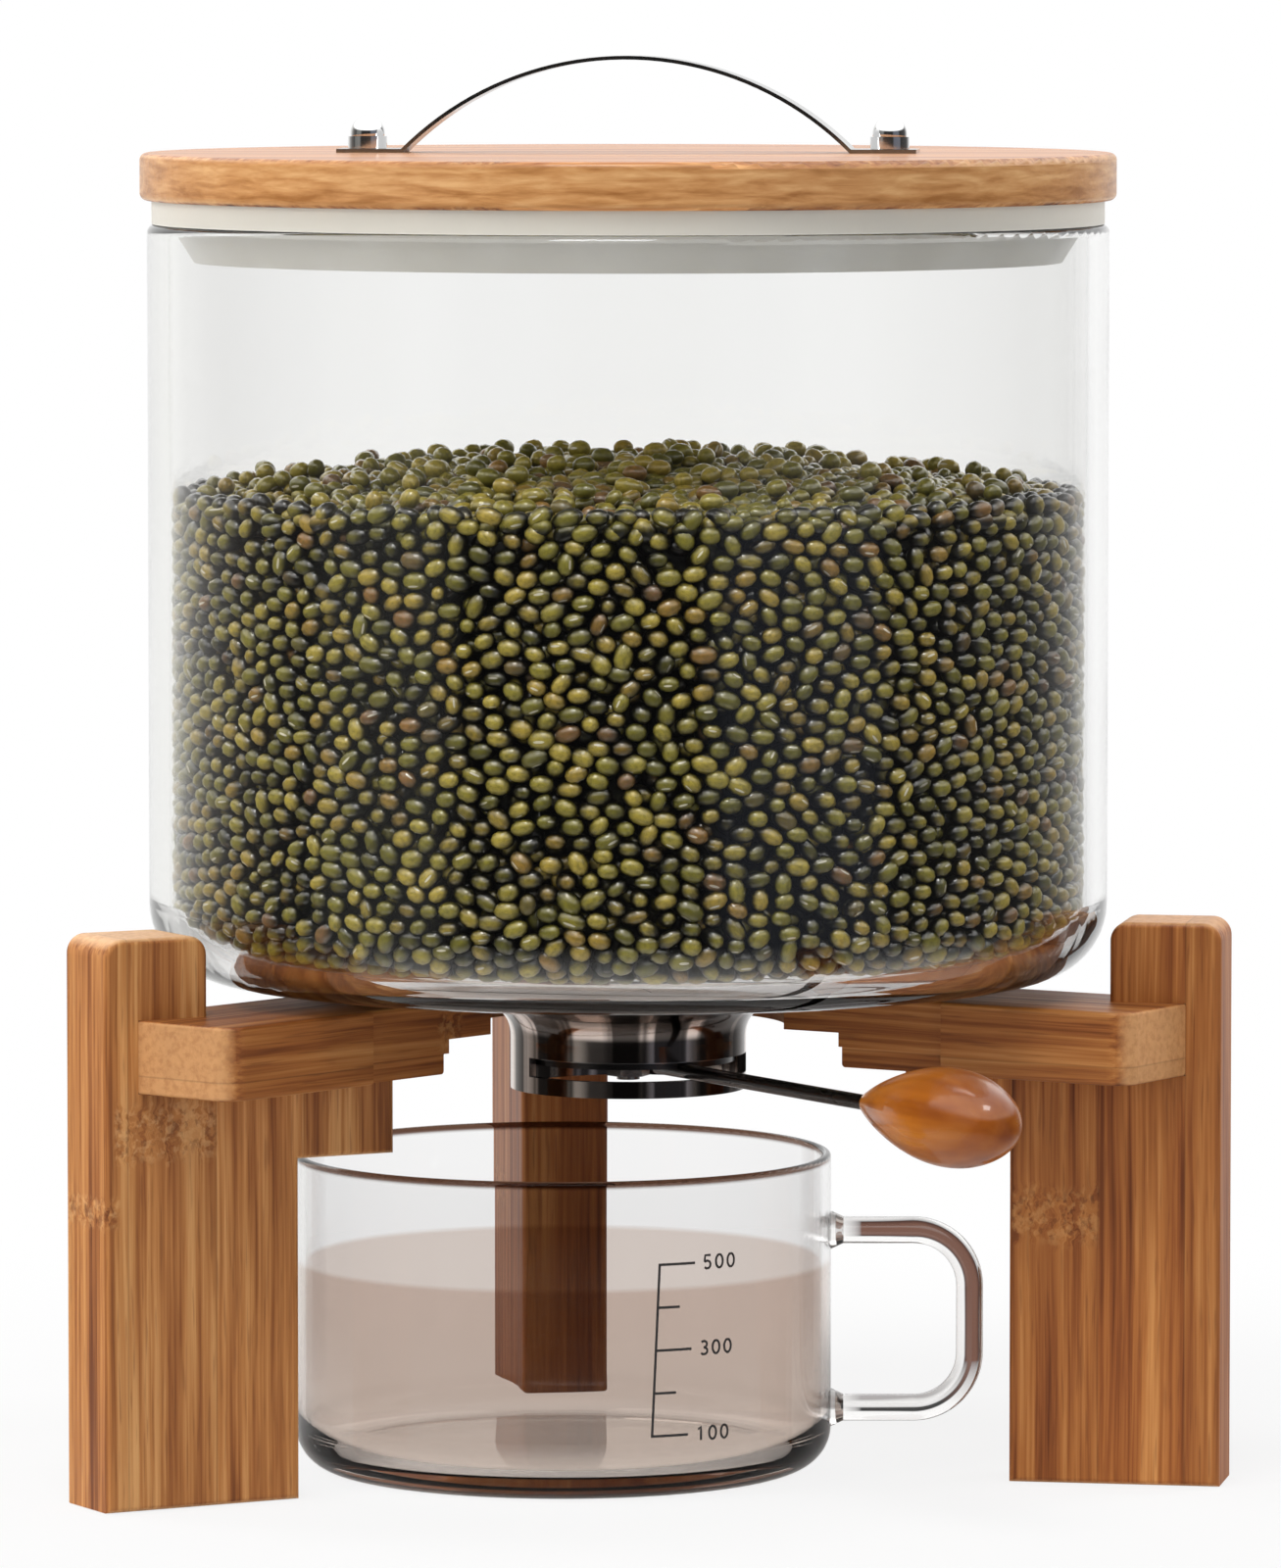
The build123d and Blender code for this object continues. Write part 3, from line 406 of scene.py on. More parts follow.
# The middle of the handle's curve, to the right in the photograph and up. Counted from there: the heights
# between which the lower arm's tints turn into the upper's, and how far right the pale start is tinted.
HANDLE_RIGHT, HANDLE_UP = 0.050, 0.031
LOWER_TO, UPPER_FROM = -0.017, -0.008
PALE_TO, TINT_FROM = -0.004, 0.000
# Only the half of the rod that faces the photograph is tinted, and this is half the width of the tints' edge
FRONT_EDGE = 0.0003


def clear_glass(name, tint, ior=GLASS_IOR, absorb=None):
    """Clear glass that lets lamplight through.

    absorb is (colour, density), for glass that darkens where it is thick.
    """
    mat, tree, shader = material(name)
    put(shader.inputs["Base Color"], tint(tree) if callable(tint) else tint)
    shader.inputs["Transmission Weight"].default_value = 1.0
    shader.inputs["Roughness"].default_value = 0.0
    shader.inputs["IOR"].default_value = ior
    # Very faint drawn ripples, as in blown glass
    ripple = noise(tree, place_of(tree), 14.0, 1.0)
    put(shader.inputs["Normal"], bump(tree, ripple, 0.05, 0.002))
    clear = tree.nodes.new("ShaderNodeBsdfTransparent")
    clear.inputs["Color"].default_value = GLASS_SHADOW
    path = tree.nodes.new("ShaderNodeLightPath")
    out = tree.nodes["Material Output"]
    surface = mixed(tree, path.outputs["Is Shadow Ray"], shader.outputs[0], clear.outputs[0])
    put(out.inputs["Surface"], surface)
    if absorb:
        inside = tree.nodes.new("ShaderNodeVolumeAbsorption")
        inside.inputs["Color"].default_value, inside.inputs["Density"].default_value = absorb
        put(out.inputs["Volume"], inside.outputs[0])
    return mat


def cup_tint_and_painted_refraction(tree):
    """The cup's tint by height, with painted refraction: a beige lower part for the background seen through
    the glass, and a brown rim line.
    """
    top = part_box("measuring_cup")[1][2]
    return ramp(tree, spread(tree, dot(tree, place_of(tree), UP), 0.0, top), CUP_TINTS_AND_PAINTED_REFRACTION)


def handle_painted_refraction(tree):
    """The handle's painted refraction: the rod's front is brown in its outer part, with a dark line along the
    lower arm, as of the wood seen through it.
    """
    where, normal = place_and_normal(tree)
    u = calc(tree, "SUBTRACT", dot(tree, where, PHOTO_RIGHT), HANDLE_RIGHT)
    v = calc(tree, "SUBTRACT", dot(tree, where, UP), HANDLE_UP)
    size = calc(tree, "SQRT", calc(tree, "ADD", calc(tree, "MULTIPLY", u, u), calc(tree, "MULTIPLY", v, v)))
    facing = calc(tree, "ADD", calc(tree, "MULTIPLY", u, dot(tree, normal, PHOTO_RIGHT)),
                  calc(tree, "MULTIPLY", v, dot(tree, normal, UP)))
    facing = calc(tree, "MULTIPLY_ADD", calc(tree, "DIVIDE", facing, size), 0.5, 0.5)
    tint = blend_colours(tree, spread(tree, v, LOWER_TO, UPPER_FROM), ramp(tree, facing, HANDLE_LOWER_PAINTED_REFRACTION),
                         ramp(tree, facing, HANDLE_UPPER_PAINTED_REFRACTION))
    front_half = spread(tree, dot(tree, where, PHOTO_AWAY), -FRONT_EDGE, FRONT_EDGE, 1.0, 0.0)
    off_the_cup = spread(tree, u, PALE_TO, TINT_FROM)
    return blend_colours(tree, calc(tree, "MULTIPLY", front_half, off_the_cup), PALE, tint)


dress(clear_glass("jar_glass", (0.995, 0.995, 0.988, 1.0)), "glass_jar")
dress(clear_glass("cup_glass", cup_tint_and_painted_refraction, CUP_IOR, CUP_ABSORPTION), "measuring_cup")
dress(clear_glass("handle_glass", handle_painted_refraction), "cup_handle")


# Metal, seals and varnished wood


def steel(name, colour, roughness, brush=UP, fine=1400.0, contrast=0.10, bands=0.0):
    """Metal with fine lines at right angles to brush; bands paints dark and bright sectors round the axis,
    painted reflections of spun metal.
    """
    mat, tree, shader = material(name)
    where = place_of(tree)
    stroke = calc(tree, "MULTIPLY", dot(tree, where, brush), fine)
    lines = noise(tree, pack_vector(tree, stroke, 0.0, 0.0), 1.0, 2.0)
    cloud = noise(tree, where, 60.0, 3.0)
    shade = calc(tree, "ADD", spread(tree, lines, 0.3, 0.7, 1.0 - contrast, 1.0),
                 spread(tree, cloud, 0, 1, -0.05, 0.05))
    # Painted reflection: bright and dark sectors round the axis
    if bands:
        x, y, z = unpack(tree, where)
        turn = calc(tree, "ARCTAN2", y, x)
        sector = pack_vector(tree, calc(tree, "COSINE", turn), calc(tree, "SINE", turn), 5.0)
        painted_reflection = spread(tree, noise(tree, sector, 3.2, 3.0, 0.6), 0.47, 0.58, 1.0 - bands, 1.0 + 2.2 * bands,
                       smooth=True)
        shade = calc(tree, "MULTIPLY", shade, painted_reflection)
    put(shader.inputs["Base Color"], blend_colours(tree, 1.0, colour, grey(tree, shade), "MULTIPLY"))
    shader.inputs["Metallic"].default_value = 1.0
    put(shader.inputs["Roughness"], spread(tree, cloud, 0.3, 0.7, roughness * 0.75, roughness * 1.3))
    put(shader.inputs["Normal"], bump(tree, lines, 0.05, 0.00005))
    return mat


# Painted shade under the lid: the grey of the seal above the jar's rim, and half the width of its soft edge
SHADED_WHITE, SHADE_EDGE = linear(206, 202, 192), 0.0004
CLOUD_SHARES = (0.90, 0.89, 0.87, 1.0)


def soft_plastic(name, colour, roughness, subsurface=0.0, shaded_above=None):
    """Pale soft plastic, a little cloudy; the last argument is the height over which it is painted greyer, as
    painted shade.
    """
    mat, tree, shader = material(name)
    where = place_of(tree)
    cloud = noise(tree, where, 35.0, 3.0)
    dust = noise(tree, where, 900.0, 2.0)
    dark = tuple(value * share for value, share in zip(colour, CLOUD_SHARES))
    base = blend_colours(tree, spread(tree, cloud, 0.35, 0.65), colour, dark)
    if shaded_above:
        above = spread(tree, dot(tree, where, UP), shaded_above - SHADE_EDGE, shaded_above + SHADE_EDGE,
                       smooth=True)
        base = blend_colours(tree, above, base, SHADED_WHITE)
    put(shader.inputs["Base Color"], base)
    put(shader.inputs["Roughness"], spread(tree, dust, 0.3, 0.7, roughness * 0.9, roughness * 1.1))
    shader.inputs["Subsurface Weight"].default_value = subsurface
    shader.inputs["Subsurface Radius"].default_value = (0.004, 0.004, 0.0035)
    put(shader.inputs["Normal"], bump(tree, dust, 0.05, 0.0001))
    return mat


VARNISHED_TONES = [(0.30, linear(146, 76, 16)), (0.50, linear(176, 100, 24)), (0.70, linear(198, 122, 38))]
VARNISHED_END = linear(112, 50, 14)
# How far from the jar's axis the knob's round end starts to darken, and where it is darkest
KNOB_END_FROM, KNOB_END_TO = 0.118, 0.146


def varnished_wood(name, along):
    """Turned wood under a thick glossy varnish."""
    mat, tree, shader = material(name)
    along = Vector(along)
    across = along.cross(Vector(UP))
    where = place_of(tree)
    run = dot(tree, where, along)
    grain = streaks(tree, run, dot(tree, where, across), dot(tree, where, UP), 12.0, 240.0, 2.0)
    wood = ramp(tree, grain, VARNISHED_TONES)
    # The round end is darker towards its tip
    end_part = spread(tree, run, KNOB_END_FROM, KNOB_END_TO, smooth=True)
    wood = blend_colours(tree, calc(tree, "MULTIPLY", end_part, 0.62), wood, VARNISHED_END)
    put(shader.inputs["Base Color"], wood)
    put(shader.inputs["Roughness"], spread(tree, grain, 0.3, 0.7, 0.34, 0.26))
    shader.inputs["Specular IOR Level"].default_value = 0.2
    shader.inputs["Coat Weight"].default_value = 0.5
    shader.inputs["Coat Roughness"].default_value = 0.03
    return mat


LEVER_AZIMUTH = 22.0 - 90.0
JAR_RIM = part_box("glass_jar")[1][2]

# Painted reflection: the collar's brown base colour stands for the wood and dark studio it mirrors, and its
# bands for bright and dark reflections
dress(steel("bright_steel", (0.30, 0.255, 0.23, 1.0), 0.12, bands=0.72), "outlet_collar", "inlet_flange")
dress(steel("plate_steel", (0.46, 0.44, 0.43, 1.0), 0.20, (1, 0, 0), 900.0),
      "fixed_shutter", "pivot_bolt", "pivot_washer", "pivot_nut", "lid_washers", "lid_bolts")
dress(steel("dark_steel", (0.085, 0.080, 0.078, 1.0), 0.22, (0.3, 0.9, 0.2), 700.0), "gate_disc", "lever_rod")
dress(steel("strap_steel", (0.34, 0.34, 0.34, 1.0), 0.14, (0.24, 0.97, 0.0), 1600.0, 0.06), "handle_strap")
dress(steel("chrome", (0.80, 0.80, 0.80, 1.0), 0.05, UP, 500.0, 0.03), "cap_nuts")
dress(steel("screw_steel", (0.42, 0.40, 0.37, 1.0), 0.34, (1, 0, 0), 500.0), "stand_screws")
dress(soft_plastic("seal_white", linear(244, 242, 236), 0.42, 0.15, JAR_RIM),
      "lid_seal", "lower_gasket", "upper_gasket")
dress(soft_plastic("liner_white", linear(226, 224, 218), 0.38), "lid_liner")
dress(varnished_wood("knob_varnish", polar(LEVER_AZIMUTH)), "lever_knob")


# Beans

# What the beans fill, in millimetres: the jar's bore, its rounded foot and floor, and the heap on top,
# with a hollow over the outlet
FILL_RADIUS = 97.7
FILL_FLOOR = 108.5
FOOT_BEND = 12.0
FLAT_RADIUS, HEEL_RISE = 52.0, 3.2
HEEL_Z = FILL_FLOOR + HEEL_RISE
WALL_TOP_Z, WALL_SPLIT_Z = 209.3, 165.0
HEAP_EDGE_IN, HEAP_EDGE_Z, HEAP_RISE, HEAP_ROUND = 2.0, 209.9, 8.0, 2.2
HOLLOW_RADIUS, HOLLOW_RISE = 33.0, 8.0
# A place that every bean on the surface faces away from
BEANS_MIDDLE = np.array([0, 0, 160.0])

# A bean's half sizes in millimetres, how blunt its ends are, and how much its thickness tapers to them
BEAN_HALF = (2.68, 2.00, 1.88)
BEAN_BLUNT, BEAN_TAPER = 0.86, 0.10
# How much the beans differ in size, length and thickness, and the least and greatest size and length
SIZE_SPREAD, LENGTH_SPREAD, THICKNESS_SPREAD = 0.075, 0.07, 0.04
SIZE_LIMITS, LENGTH_LIMITS = (0.82, 1.2), (0.85, 1.2)
# How far they turn from lying level round the jar, and the share of them that is turned upright
TURN_SPREAD, UPRIGHT_SHARE = 0.42, 0.07
# The share of them that is tipped on end, towards the glass, and by what angles
ON_END_SHARE, ON_END_ANGLES = 0.10, (0.5, 1.1)
GLASS_GAP = 0.05
# The beans' layers: the end of their names, the inset from the surface, the spacing and the depth from which
# their painted shade starts. The second one shows, painted darker, between the first one's beans.
LAYERS = (("", 0.0, 4.40, 0.0), ("_behind", 2.7, 4.75, 0.6))
# Places start on a spiral and settle. On the wall they are stretched apart round it, and closer down it.
GOLDEN_ANGLE, ANGLE_SPREAD = 2.399963, 0.05
LOOK_AHEAD = 0.5
SETTLING_ROUNDS, NEIGHBOURS = 26, 8
PUSH_REACH, PUSH_SHARE, LEAST_RADIUS = 1.12, 0.22, 3.0
WALL_STRETCH = 1.17
HEAP_SPACING, HEAP_ROUGHNESS, HEAP_SINK = 4.3, 0.5, 0.4
RIPPLE_HEIGHT, RIPPLE_X, RIPPLE_Y, RIPPLE_CALM = 1.1, 13.0, 17.0, 12.0
LOOSE_COUNT, LOOSE_SHIFT, LOOSE_LIFT, LOOSE_MARGIN = 210, 1.2, 2.5, 6.0
# How far the dark core, painted shade between the beans, lies inside the beans' surface
CORE_INSET = 4.8


def wall_profile():
    """Points (r, z) in millimetres down the wall, round the foot and in over the floor."""
    points = [(FILL_RADIUS, z) for z in np.linspace(WALL_TOP_Z, HEEL_Z + FOOT_BEND, 60)]
    for a in np.linspace(0, math.pi / 2, 12)[1:]:
        points.append((FILL_RADIUS - FOOT_BEND * (1 - math.cos(a)), HEEL_Z + FOOT_BEND * (1 - math.sin(a))))
    slope = HEEL_RISE / (FILL_RADIUS - FOOT_BEND - FLAT_RADIUS)
    for r in np.linspace(FILL_RADIUS - FOOT_BEND, HOLLOW_RADIUS, 30)[1:]:
        points.append((r, FILL_FLOOR + slope * max(0.0, r - FLAT_RADIUS)))
    return np.array(points)


def heap_profile():
    """Points (r, z) from the wall up over the heap to its middle."""
    t = np.linspace(0, 1, 50)
    r = (FILL_RADIUS - HEAP_EDGE_IN) * (1 - t)
    z = HEAP_EDGE_Z + HEAP_RISE * (1 - (1 - t) ** HEAP_ROUND)
    return np.stack([r, z], 1)


def lay(profile, length, s, angle):
    """Places at a way s down a profile and an angle round it: the spots, both tangents and the radius."""
    r, z = np.interp(s, length, profile[:, 0]), np.interp(s, length, profile[:, 1])
    ahead = np.clip(s + LOOK_AHEAD, 0, length[-1])
    behind = np.clip(s - LOOK_AHEAD, 0, length[-1])
    dr = np.interp(ahead, length, profile[:, 0]) - np.interp(behind, length, profile[:, 0])
    dz = np.interp(ahead, length, profile[:, 1]) - np.interp(behind, length, profile[:, 1])
    size = np.hypot(dr, dz) + 1e-9
    cosine, sine = np.cos(angle), np.sin(angle)
    down = np.stack([dr / size * cosine, dr / size * sine, dz / size], 1)
    about = np.stack([-sine, cosine, 0 * cosine], 1)
    return np.stack([r * cosine, r * sine, z], 1), down, about, r


def scatter(profile, spacing, stretch, rng):
    """Evenly strewn places on a surface of revolution: the spots, and the tangents down it and round it."""
    steps = np.linalg.norm(np.diff(profile, axis=0), axis=1)
    length = np.concatenate([[0], np.cumsum(steps)])
    middle = (profile[1:, 0] + profile[:-1, 0]) / 2
    area = np.concatenate([[0], np.cumsum(steps * middle * 2 * math.pi)])
    count = int(area[-1] / spacing**2)
    s = np.interp((np.arange(count) + rng.random(count)) / count * area[-1], area, length)
    angle = (np.arange(count) * GOLDEN_ANGLE + rng.normal(0, ANGLE_SPREAD, count)) % (2 * math.pi)
    reach = spacing * PUSH_REACH
    # Neighbours push each other apart until the places are even
    for _ in range(SETTLING_ROUNDS):
        spots, down, about, r = lay(profile, length, s, angle)
        tree = KDTree(count)
        for i, p in enumerate(spots):
            tree.insert(p, i)
        tree.balance()
        near = np.array([[hit[1] for hit in tree.find_n(p, NEIGHBOURS)] for p in spots])
        gap = spots[near] - spots[:, None, :]
        u = np.einsum("ijk,ik->ij", gap, about) / stretch
        v = np.einsum("ijk,ik->ij", gap, down) * stretch
        far = np.hypot(u, v) + 1e-6
        push = np.clip(reach - far, 0, None) / far * PUSH_SHARE
        push[near == np.arange(count)[:, None]] = 0
        angle -= (u * push).sum(1) * stretch / np.maximum(r, LEAST_RADIUS)
        s = np.clip(s - (v * push).sum(1) / stretch, 0, length[-1])
    return lay(profile, length, s, angle)[:3]


def round_cube(cuts):
    """A sphere of radius 1 made of even quads: its points and its faces."""
    bm = bmesh.new()
    bmesh.ops.create_cube(bm, size=2.0)
    bmesh.ops.subdivide_edges(bm, edges=bm.edges[:], cuts=cuts, use_grid_fill=True)
    for v in bm.verts:
        v.co = Vector([math.tan(c * math.pi / 4) for c in v.co]).normalized()
    points = np.array([v.co for v in bm.verts])
    faces = np.array([[v.index for v in f.verts] for f in bm.faces])
    bm.free()
    return points, faces


BALL, BALL_FACES = round_cube(2)
BEAN = np.stack([np.sign(BALL[:, 0]) * np.abs(BALL[:, 0]) ** BEAN_BLUNT, BALL[:, 1], BALL[:, 2]], 1)
BEAN[:, 1:] *= (1 - BEAN_TAPER * np.abs(BALL[:, :1]) ** 3)


def outward(spots, down, about):
    """Unit vectors that point out of the beans at the spots."""
    out = np.cross(about, down)
    flip = np.sign(np.einsum("ij,ij->i", out, spots - BEANS_MIDDLE))
    return out * np.where(flip == 0, 1, flip)[:, None]


def turned_mix(first, second, angle):
    """Unit vectors turned from first towards second by an angle for each."""
    return first * np.cos(angle)[:, None] + second * np.sin(angle)[:, None]


def bean_axes(down, about, out, tumble, rng):
    """The three axes of each bean, which lies on the surface but for a few that stand upright or on end."""
    count = len(down)
    turn = rng.normal(0, TURN_SPREAD, count)
    turn[rng.random(count) < UPRIGHT_SHARE] += math.pi / 2
    tip = rng.normal(0, tumble, count)
    on_end = rng.random(count) < ON_END_SHARE
    tip[on_end] += rng.uniform(*ON_END_ANGLES, count)[on_end]
    long = turned_mix(turned_mix(about, down, turn), out, tip)
    side = np.cross(out, long)
    side /= np.linalg.norm(side, axis=1)[:, None]
    wide = turned_mix(side, np.cross(long, side), rng.uniform(-math.pi, math.pi, count))
    return long, wide, np.cross(long, wide)


def add_values(mesh, name, kind, field, values):
    """A point attribute of a mesh."""
    layer = mesh.attributes.new(name, kind, "POINT")
    layer.data.foreach_set(field, values.astype(np.float32).ravel())


def bean_piece(name, spots, down, about, rng, mat, tumble=0.25, sink=0.9, shade=1.0, deeper=0.0):
    """One mesh of many beans, each lying at its spot on the surface, its middle inside by half its thickness.

    shade is how fast the beans' painted shade darkens them with depth, and deeper is the depth at which it
    starts.
    """
    count = len(spots)
    out = outward(spots, down, about)
    axes = bean_axes(down, about, out, tumble, rng)
    half = np.outer(rng.normal(1.0, SIZE_SPREAD, count).clip(*SIZE_LIMITS), BEAN_HALF)
    half[:, 0] *= rng.normal(1.0, LENGTH_SPREAD, count).clip(*LENGTH_LIMITS)
    half[:, 2] *= rng.normal(1.0, THICKNESS_SPREAD, count)
    depth = np.sqrt(sum((half[:, k] * np.einsum("ij,ij->i", axes[k], out)) ** 2 for k in range(3)))
    middle = spots - out * (depth + GLASS_GAP + rng.random(count) ** 2 * sink)[:, None]
    body = sum(axes[k][:, None, :] * (half[:, k:k + 1] * BEAN[None, :, k])[:, :, None] for k in range(3))
    points = middle[:, None, :] + body
    inward = np.einsum("ijk,ik->ij", spots[:, None, :] - points, out)
    faces = (BALL_FACES[None] + (np.arange(count) * len(BALL))[:, None, None]).reshape(-1)

    mesh = bpy.data.meshes.new(name)
    mesh.vertices.add(count * len(BALL))
    mesh.vertices.foreach_set("co", (points * MM).astype(np.float32).ravel())
    mesh.loops.add(len(faces))
    mesh.loops.foreach_set("vertex_index", faces.astype(np.int32))
    mesh.polygons.add(len(faces) // 4)
    mesh.polygons.foreach_set("loop_start", np.arange(0, len(faces), 4, dtype=np.int32))
    mesh.polygons.foreach_set("use_smooth", np.ones(len(faces) // 4, bool))
    add_values(mesh, "bean_place", "FLOAT_VECTOR", "vector", np.tile(BALL, (count, 1)))
    add_values(mesh, "bean_tone", "FLOAT", "value", np.repeat(rng.random(count), len(BALL)))
    # Painted shade: how deep each point lies, which darkens its colour
    add_values(mesh, "bean_depth", "FLOAT", "value", inward * shade + deeper)
    mesh.update()
    mesh.validate()
    mesh.materials.append(mat)
    obj = bpy.data.objects.new(name, mesh)
    bpy.context.scene.collection.objects.link(obj)
    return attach(obj, "jar")


BEAN_TONES = [(0.0, linear(96, 92, 26)), (0.25, linear(136, 128, 40)), (0.50, linear(162, 148, 54)),
              (0.72, linear(190, 168, 66)), (0.90, linear(166, 136, 50)), (0.95, linear(146, 104, 48)),
              (0.98, linear(120, 86, 54)), (1.0, linear(104, 100, 42))]
# Painted shade: the heap's inside, dark olive going to near black
BULK_TONES = [(0.1, linear(48, 44, 16)), (0.6, linear(5, 4, 2))]
MOTTLE_COLOUR, SCAR_COLOUR = linear(78, 74, 26), linear(232, 226, 206)
# The scar's half length and half width, as shares of the bean's own
SCAR_LONG, SCAR_WIDE = 0.34, 0.13


def bean_skin():
    """Glossy bean skins, each with its own tone, mottled, and with painted shade that darkens them the deeper
    they lie.
    """
    mat, tree, shader = material("bean_skin")
    own = attribute(tree, "bean_tone")["Fac"]
    where = attribute(tree, "bean_place")["Vector"]
    colour = ramp(tree, own, BEAN_TONES)
    moved = tree.nodes.new("ShaderNodeVectorMath")
    put(moved.inputs[0], where)
    put(moved.inputs[1], pack_vector(tree, calc(tree, "MULTIPLY", own, 91.0), 0.0, 0.0))
    mottle = noise(tree, moved.outputs[0], 2.6, 3.0, 0.6)
    colour = blend_colours(tree, spread(tree, mottle, 0.40, 0.75, 0.0, 0.6), colour, MOTTLE_COLOUR)
    # The pale scar in the middle of one long side
    x, y, z = unpack(tree, where)
    oval = calc(tree, "ADD", calc(tree, "POWER", calc(tree, "DIVIDE", x, SCAR_LONG), 2.0),
                calc(tree, "POWER", calc(tree, "DIVIDE", z, SCAR_WIDE), 2.0))
    scar = calc(tree, "MULTIPLY", spread(tree, oval, 0.6, 1.1, 1.0, 0.0, smooth=True),
                spread(tree, y, 0.5, 0.7))
    colour = blend_colours(tree, calc(tree, "MULTIPLY", scar, 0.85), colour, SCAR_COLOUR)
    # Painted shade: the colour darkens with depth, where the light falls off between the beans
    lit = spread(tree, attribute(tree, "bean_depth")["Fac"], 0.15, 1.75, 1.0, 0.015, smooth=True)
    put(shader.inputs["Base Color"], blend_colours(tree, 1.0, colour, grey(tree, lit), "MULTIPLY"))
    put(shader.inputs["Roughness"], spread(tree, mottle, 0.3, 0.7, 0.30, 0.42))
    shader.inputs["Coat Weight"].default_value = 0.9
    shader.inputs["Coat Roughness"].default_value = 0.11
    return mat


def bean_bulk():
    """The inside of the heap, painted near black as shade, which shows only between the beans."""
    mat, tree, shader = material("bean_bulk")
    cells = tree.nodes.new("ShaderNodeTexVoronoi")
    put(cells.inputs["Vector"], place_of(tree))
    cells.inputs["Scale"].default_value = 230.0
    distance = cells.outputs["Distance"]
    put(shader.inputs["Base Color"], ramp(tree, distance, BULK_TONES))
    shader.inputs["Roughness"].default_value = 0.7
    put(shader.inputs["Normal"], bump(tree, distance, 0.6, -0.002))
    return mat


def turned_piece(name, profile, mat, body, segments=96):
    """A closed solid of revolution from (r, z) points in millimetres, first and last on the axis."""
    bm = bmesh.new()
    rows = []
    for r, z in profile:
        if r == 0:
            rows.append([bm.verts.new((0, 0, z * MM))])
        else:
            rows.append([bm.verts.new((r * MM * math.cos(a), r * MM * math.sin(a), z * MM))
                         for a in np.linspace(0, 2 * math.pi, segments, endpoint=False)])
    for low, high in zip(rows, rows[1:]):
        for i in range(segments):
            j = (i + 1) % segments
            ring = [low[i % len(low)], low[j % len(low)], high[j % len(high)], high[i % len(high)]]
            bm.faces.new(list(dict.fromkeys(ring)))
    bmesh.ops.recalc_face_normals(bm, faces=bm.faces)
    mesh = bpy.data.meshes.new(name)
    bm.to_mesh(mesh)
    bm.free()
    for polygon in mesh.polygons:
        polygon.use_smooth = True
    mesh.materials.append(mat)
    obj = bpy.data.objects.new(name, mesh)
    bpy.context.scene.collection.objects.link(obj)
    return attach(obj, body)


rng = np.random.default_rng(20)
skin, bulk = bean_skin(), bean_bulk()
bean_pieces = []
for tail, layer_inset, spacing, deeper in LAYERS:
    spots, down, about = scatter(wall_profile(), spacing, WALL_STRETCH, rng)
    spots -= outward(spots, down, about) * layer_inset
    on_wall = spots[:, 2] > HEEL_Z + FOOT_BEND
    high = spots[:, 2] >= WALL_SPLIT_Z
    groups = {"beans_wall_high": on_wall & high, "beans_wall_low": on_wall & ~high, "beans_floor": ~on_wall}
    for name, chosen in groups.items():
        if name != "beans_floor" or not tail:
            bean_pieces.append(bean_piece(name + tail, spots[chosen], down[chosen], about[chosen], rng, skin,
                                          deeper=deeper))

# The heap has slow ripples that die out at the wall
spots, down, about = scatter(heap_profile(), HEAP_SPACING, 1.0, rng)
ripples = RIPPLE_HEIGHT * np.sin(spots[:, 0] / RIPPLE_X + 1) * np.cos(spots[:, 1] / RIPPLE_Y)
ripples += rng.normal(0, HEAP_ROUGHNESS, len(spots))
calm = np.clip((FILL_RADIUS - np.hypot(spots[:, 0], spots[:, 1])) / RIPPLE_CALM, 0, 1)
spots[:, 2] += ripples * calm - HEAP_SINK
bean_pieces.append(bean_piece("beans_heap", spots, down, about, rng, skin, tumble=0.4, sink=1.2, shade=0.55))

# Loose beans that lie on the heap
perched = rng.permutation(len(spots))[:LOOSE_COUNT]
loose = spots[perched] + rng.normal(0, LOOSE_SHIFT, (LOOSE_COUNT, 3)) * [1, 1, 0] + [0, 0, LOOSE_LIFT]
inner = np.hypot(loose[:, 0], loose[:, 1]) < FILL_RADIUS - LOOSE_MARGIN
kept = perched[inner]
bean_pieces.append(bean_piece("beans_loose", loose[inner], down[kept], about[kept], rng, skin,
                              tumble=0.2, sink=0.5, shade=0.3))

core_floor = FILL_FLOOR + CORE_INSET
core_bend = FOOT_BEND - CORE_INSET
core_profile = [(0, core_floor + HOLLOW_RISE), (HOLLOW_RADIUS + CORE_INSET, core_floor + HOLLOW_RISE),
                (HOLLOW_RADIUS + CORE_INSET, core_floor), (FLAT_RADIUS, core_floor),
                (FILL_RADIUS - FOOT_BEND, HEEL_Z + CORE_INSET)]
for a in np.linspace(math.pi / 2, 0, 8)[1:]:
    core_profile.append((FILL_RADIUS - FOOT_BEND + core_bend * math.cos(a),
                         HEEL_Z + FOOT_BEND - core_bend * math.sin(a)))
core_profile += [(r, z - CORE_INSET) for r, z in heap_profile()[::4] if r < FILL_RADIUS - CORE_INSET]
core_profile += [(0, HEAP_EDGE_Z + HEAP_RISE - CORE_INSET)]
core = turned_piece("beans_core", core_profile, bulk, "jar")
for piece in [core, *bean_pieces]:
    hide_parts("grain_fill")
# The grain in the outlet gets the same painted shade
dress(bulk, "grain_in_outlet")


# Printed scale on the cup, in millimetres: u runs to the right round the glass from the photograph's front

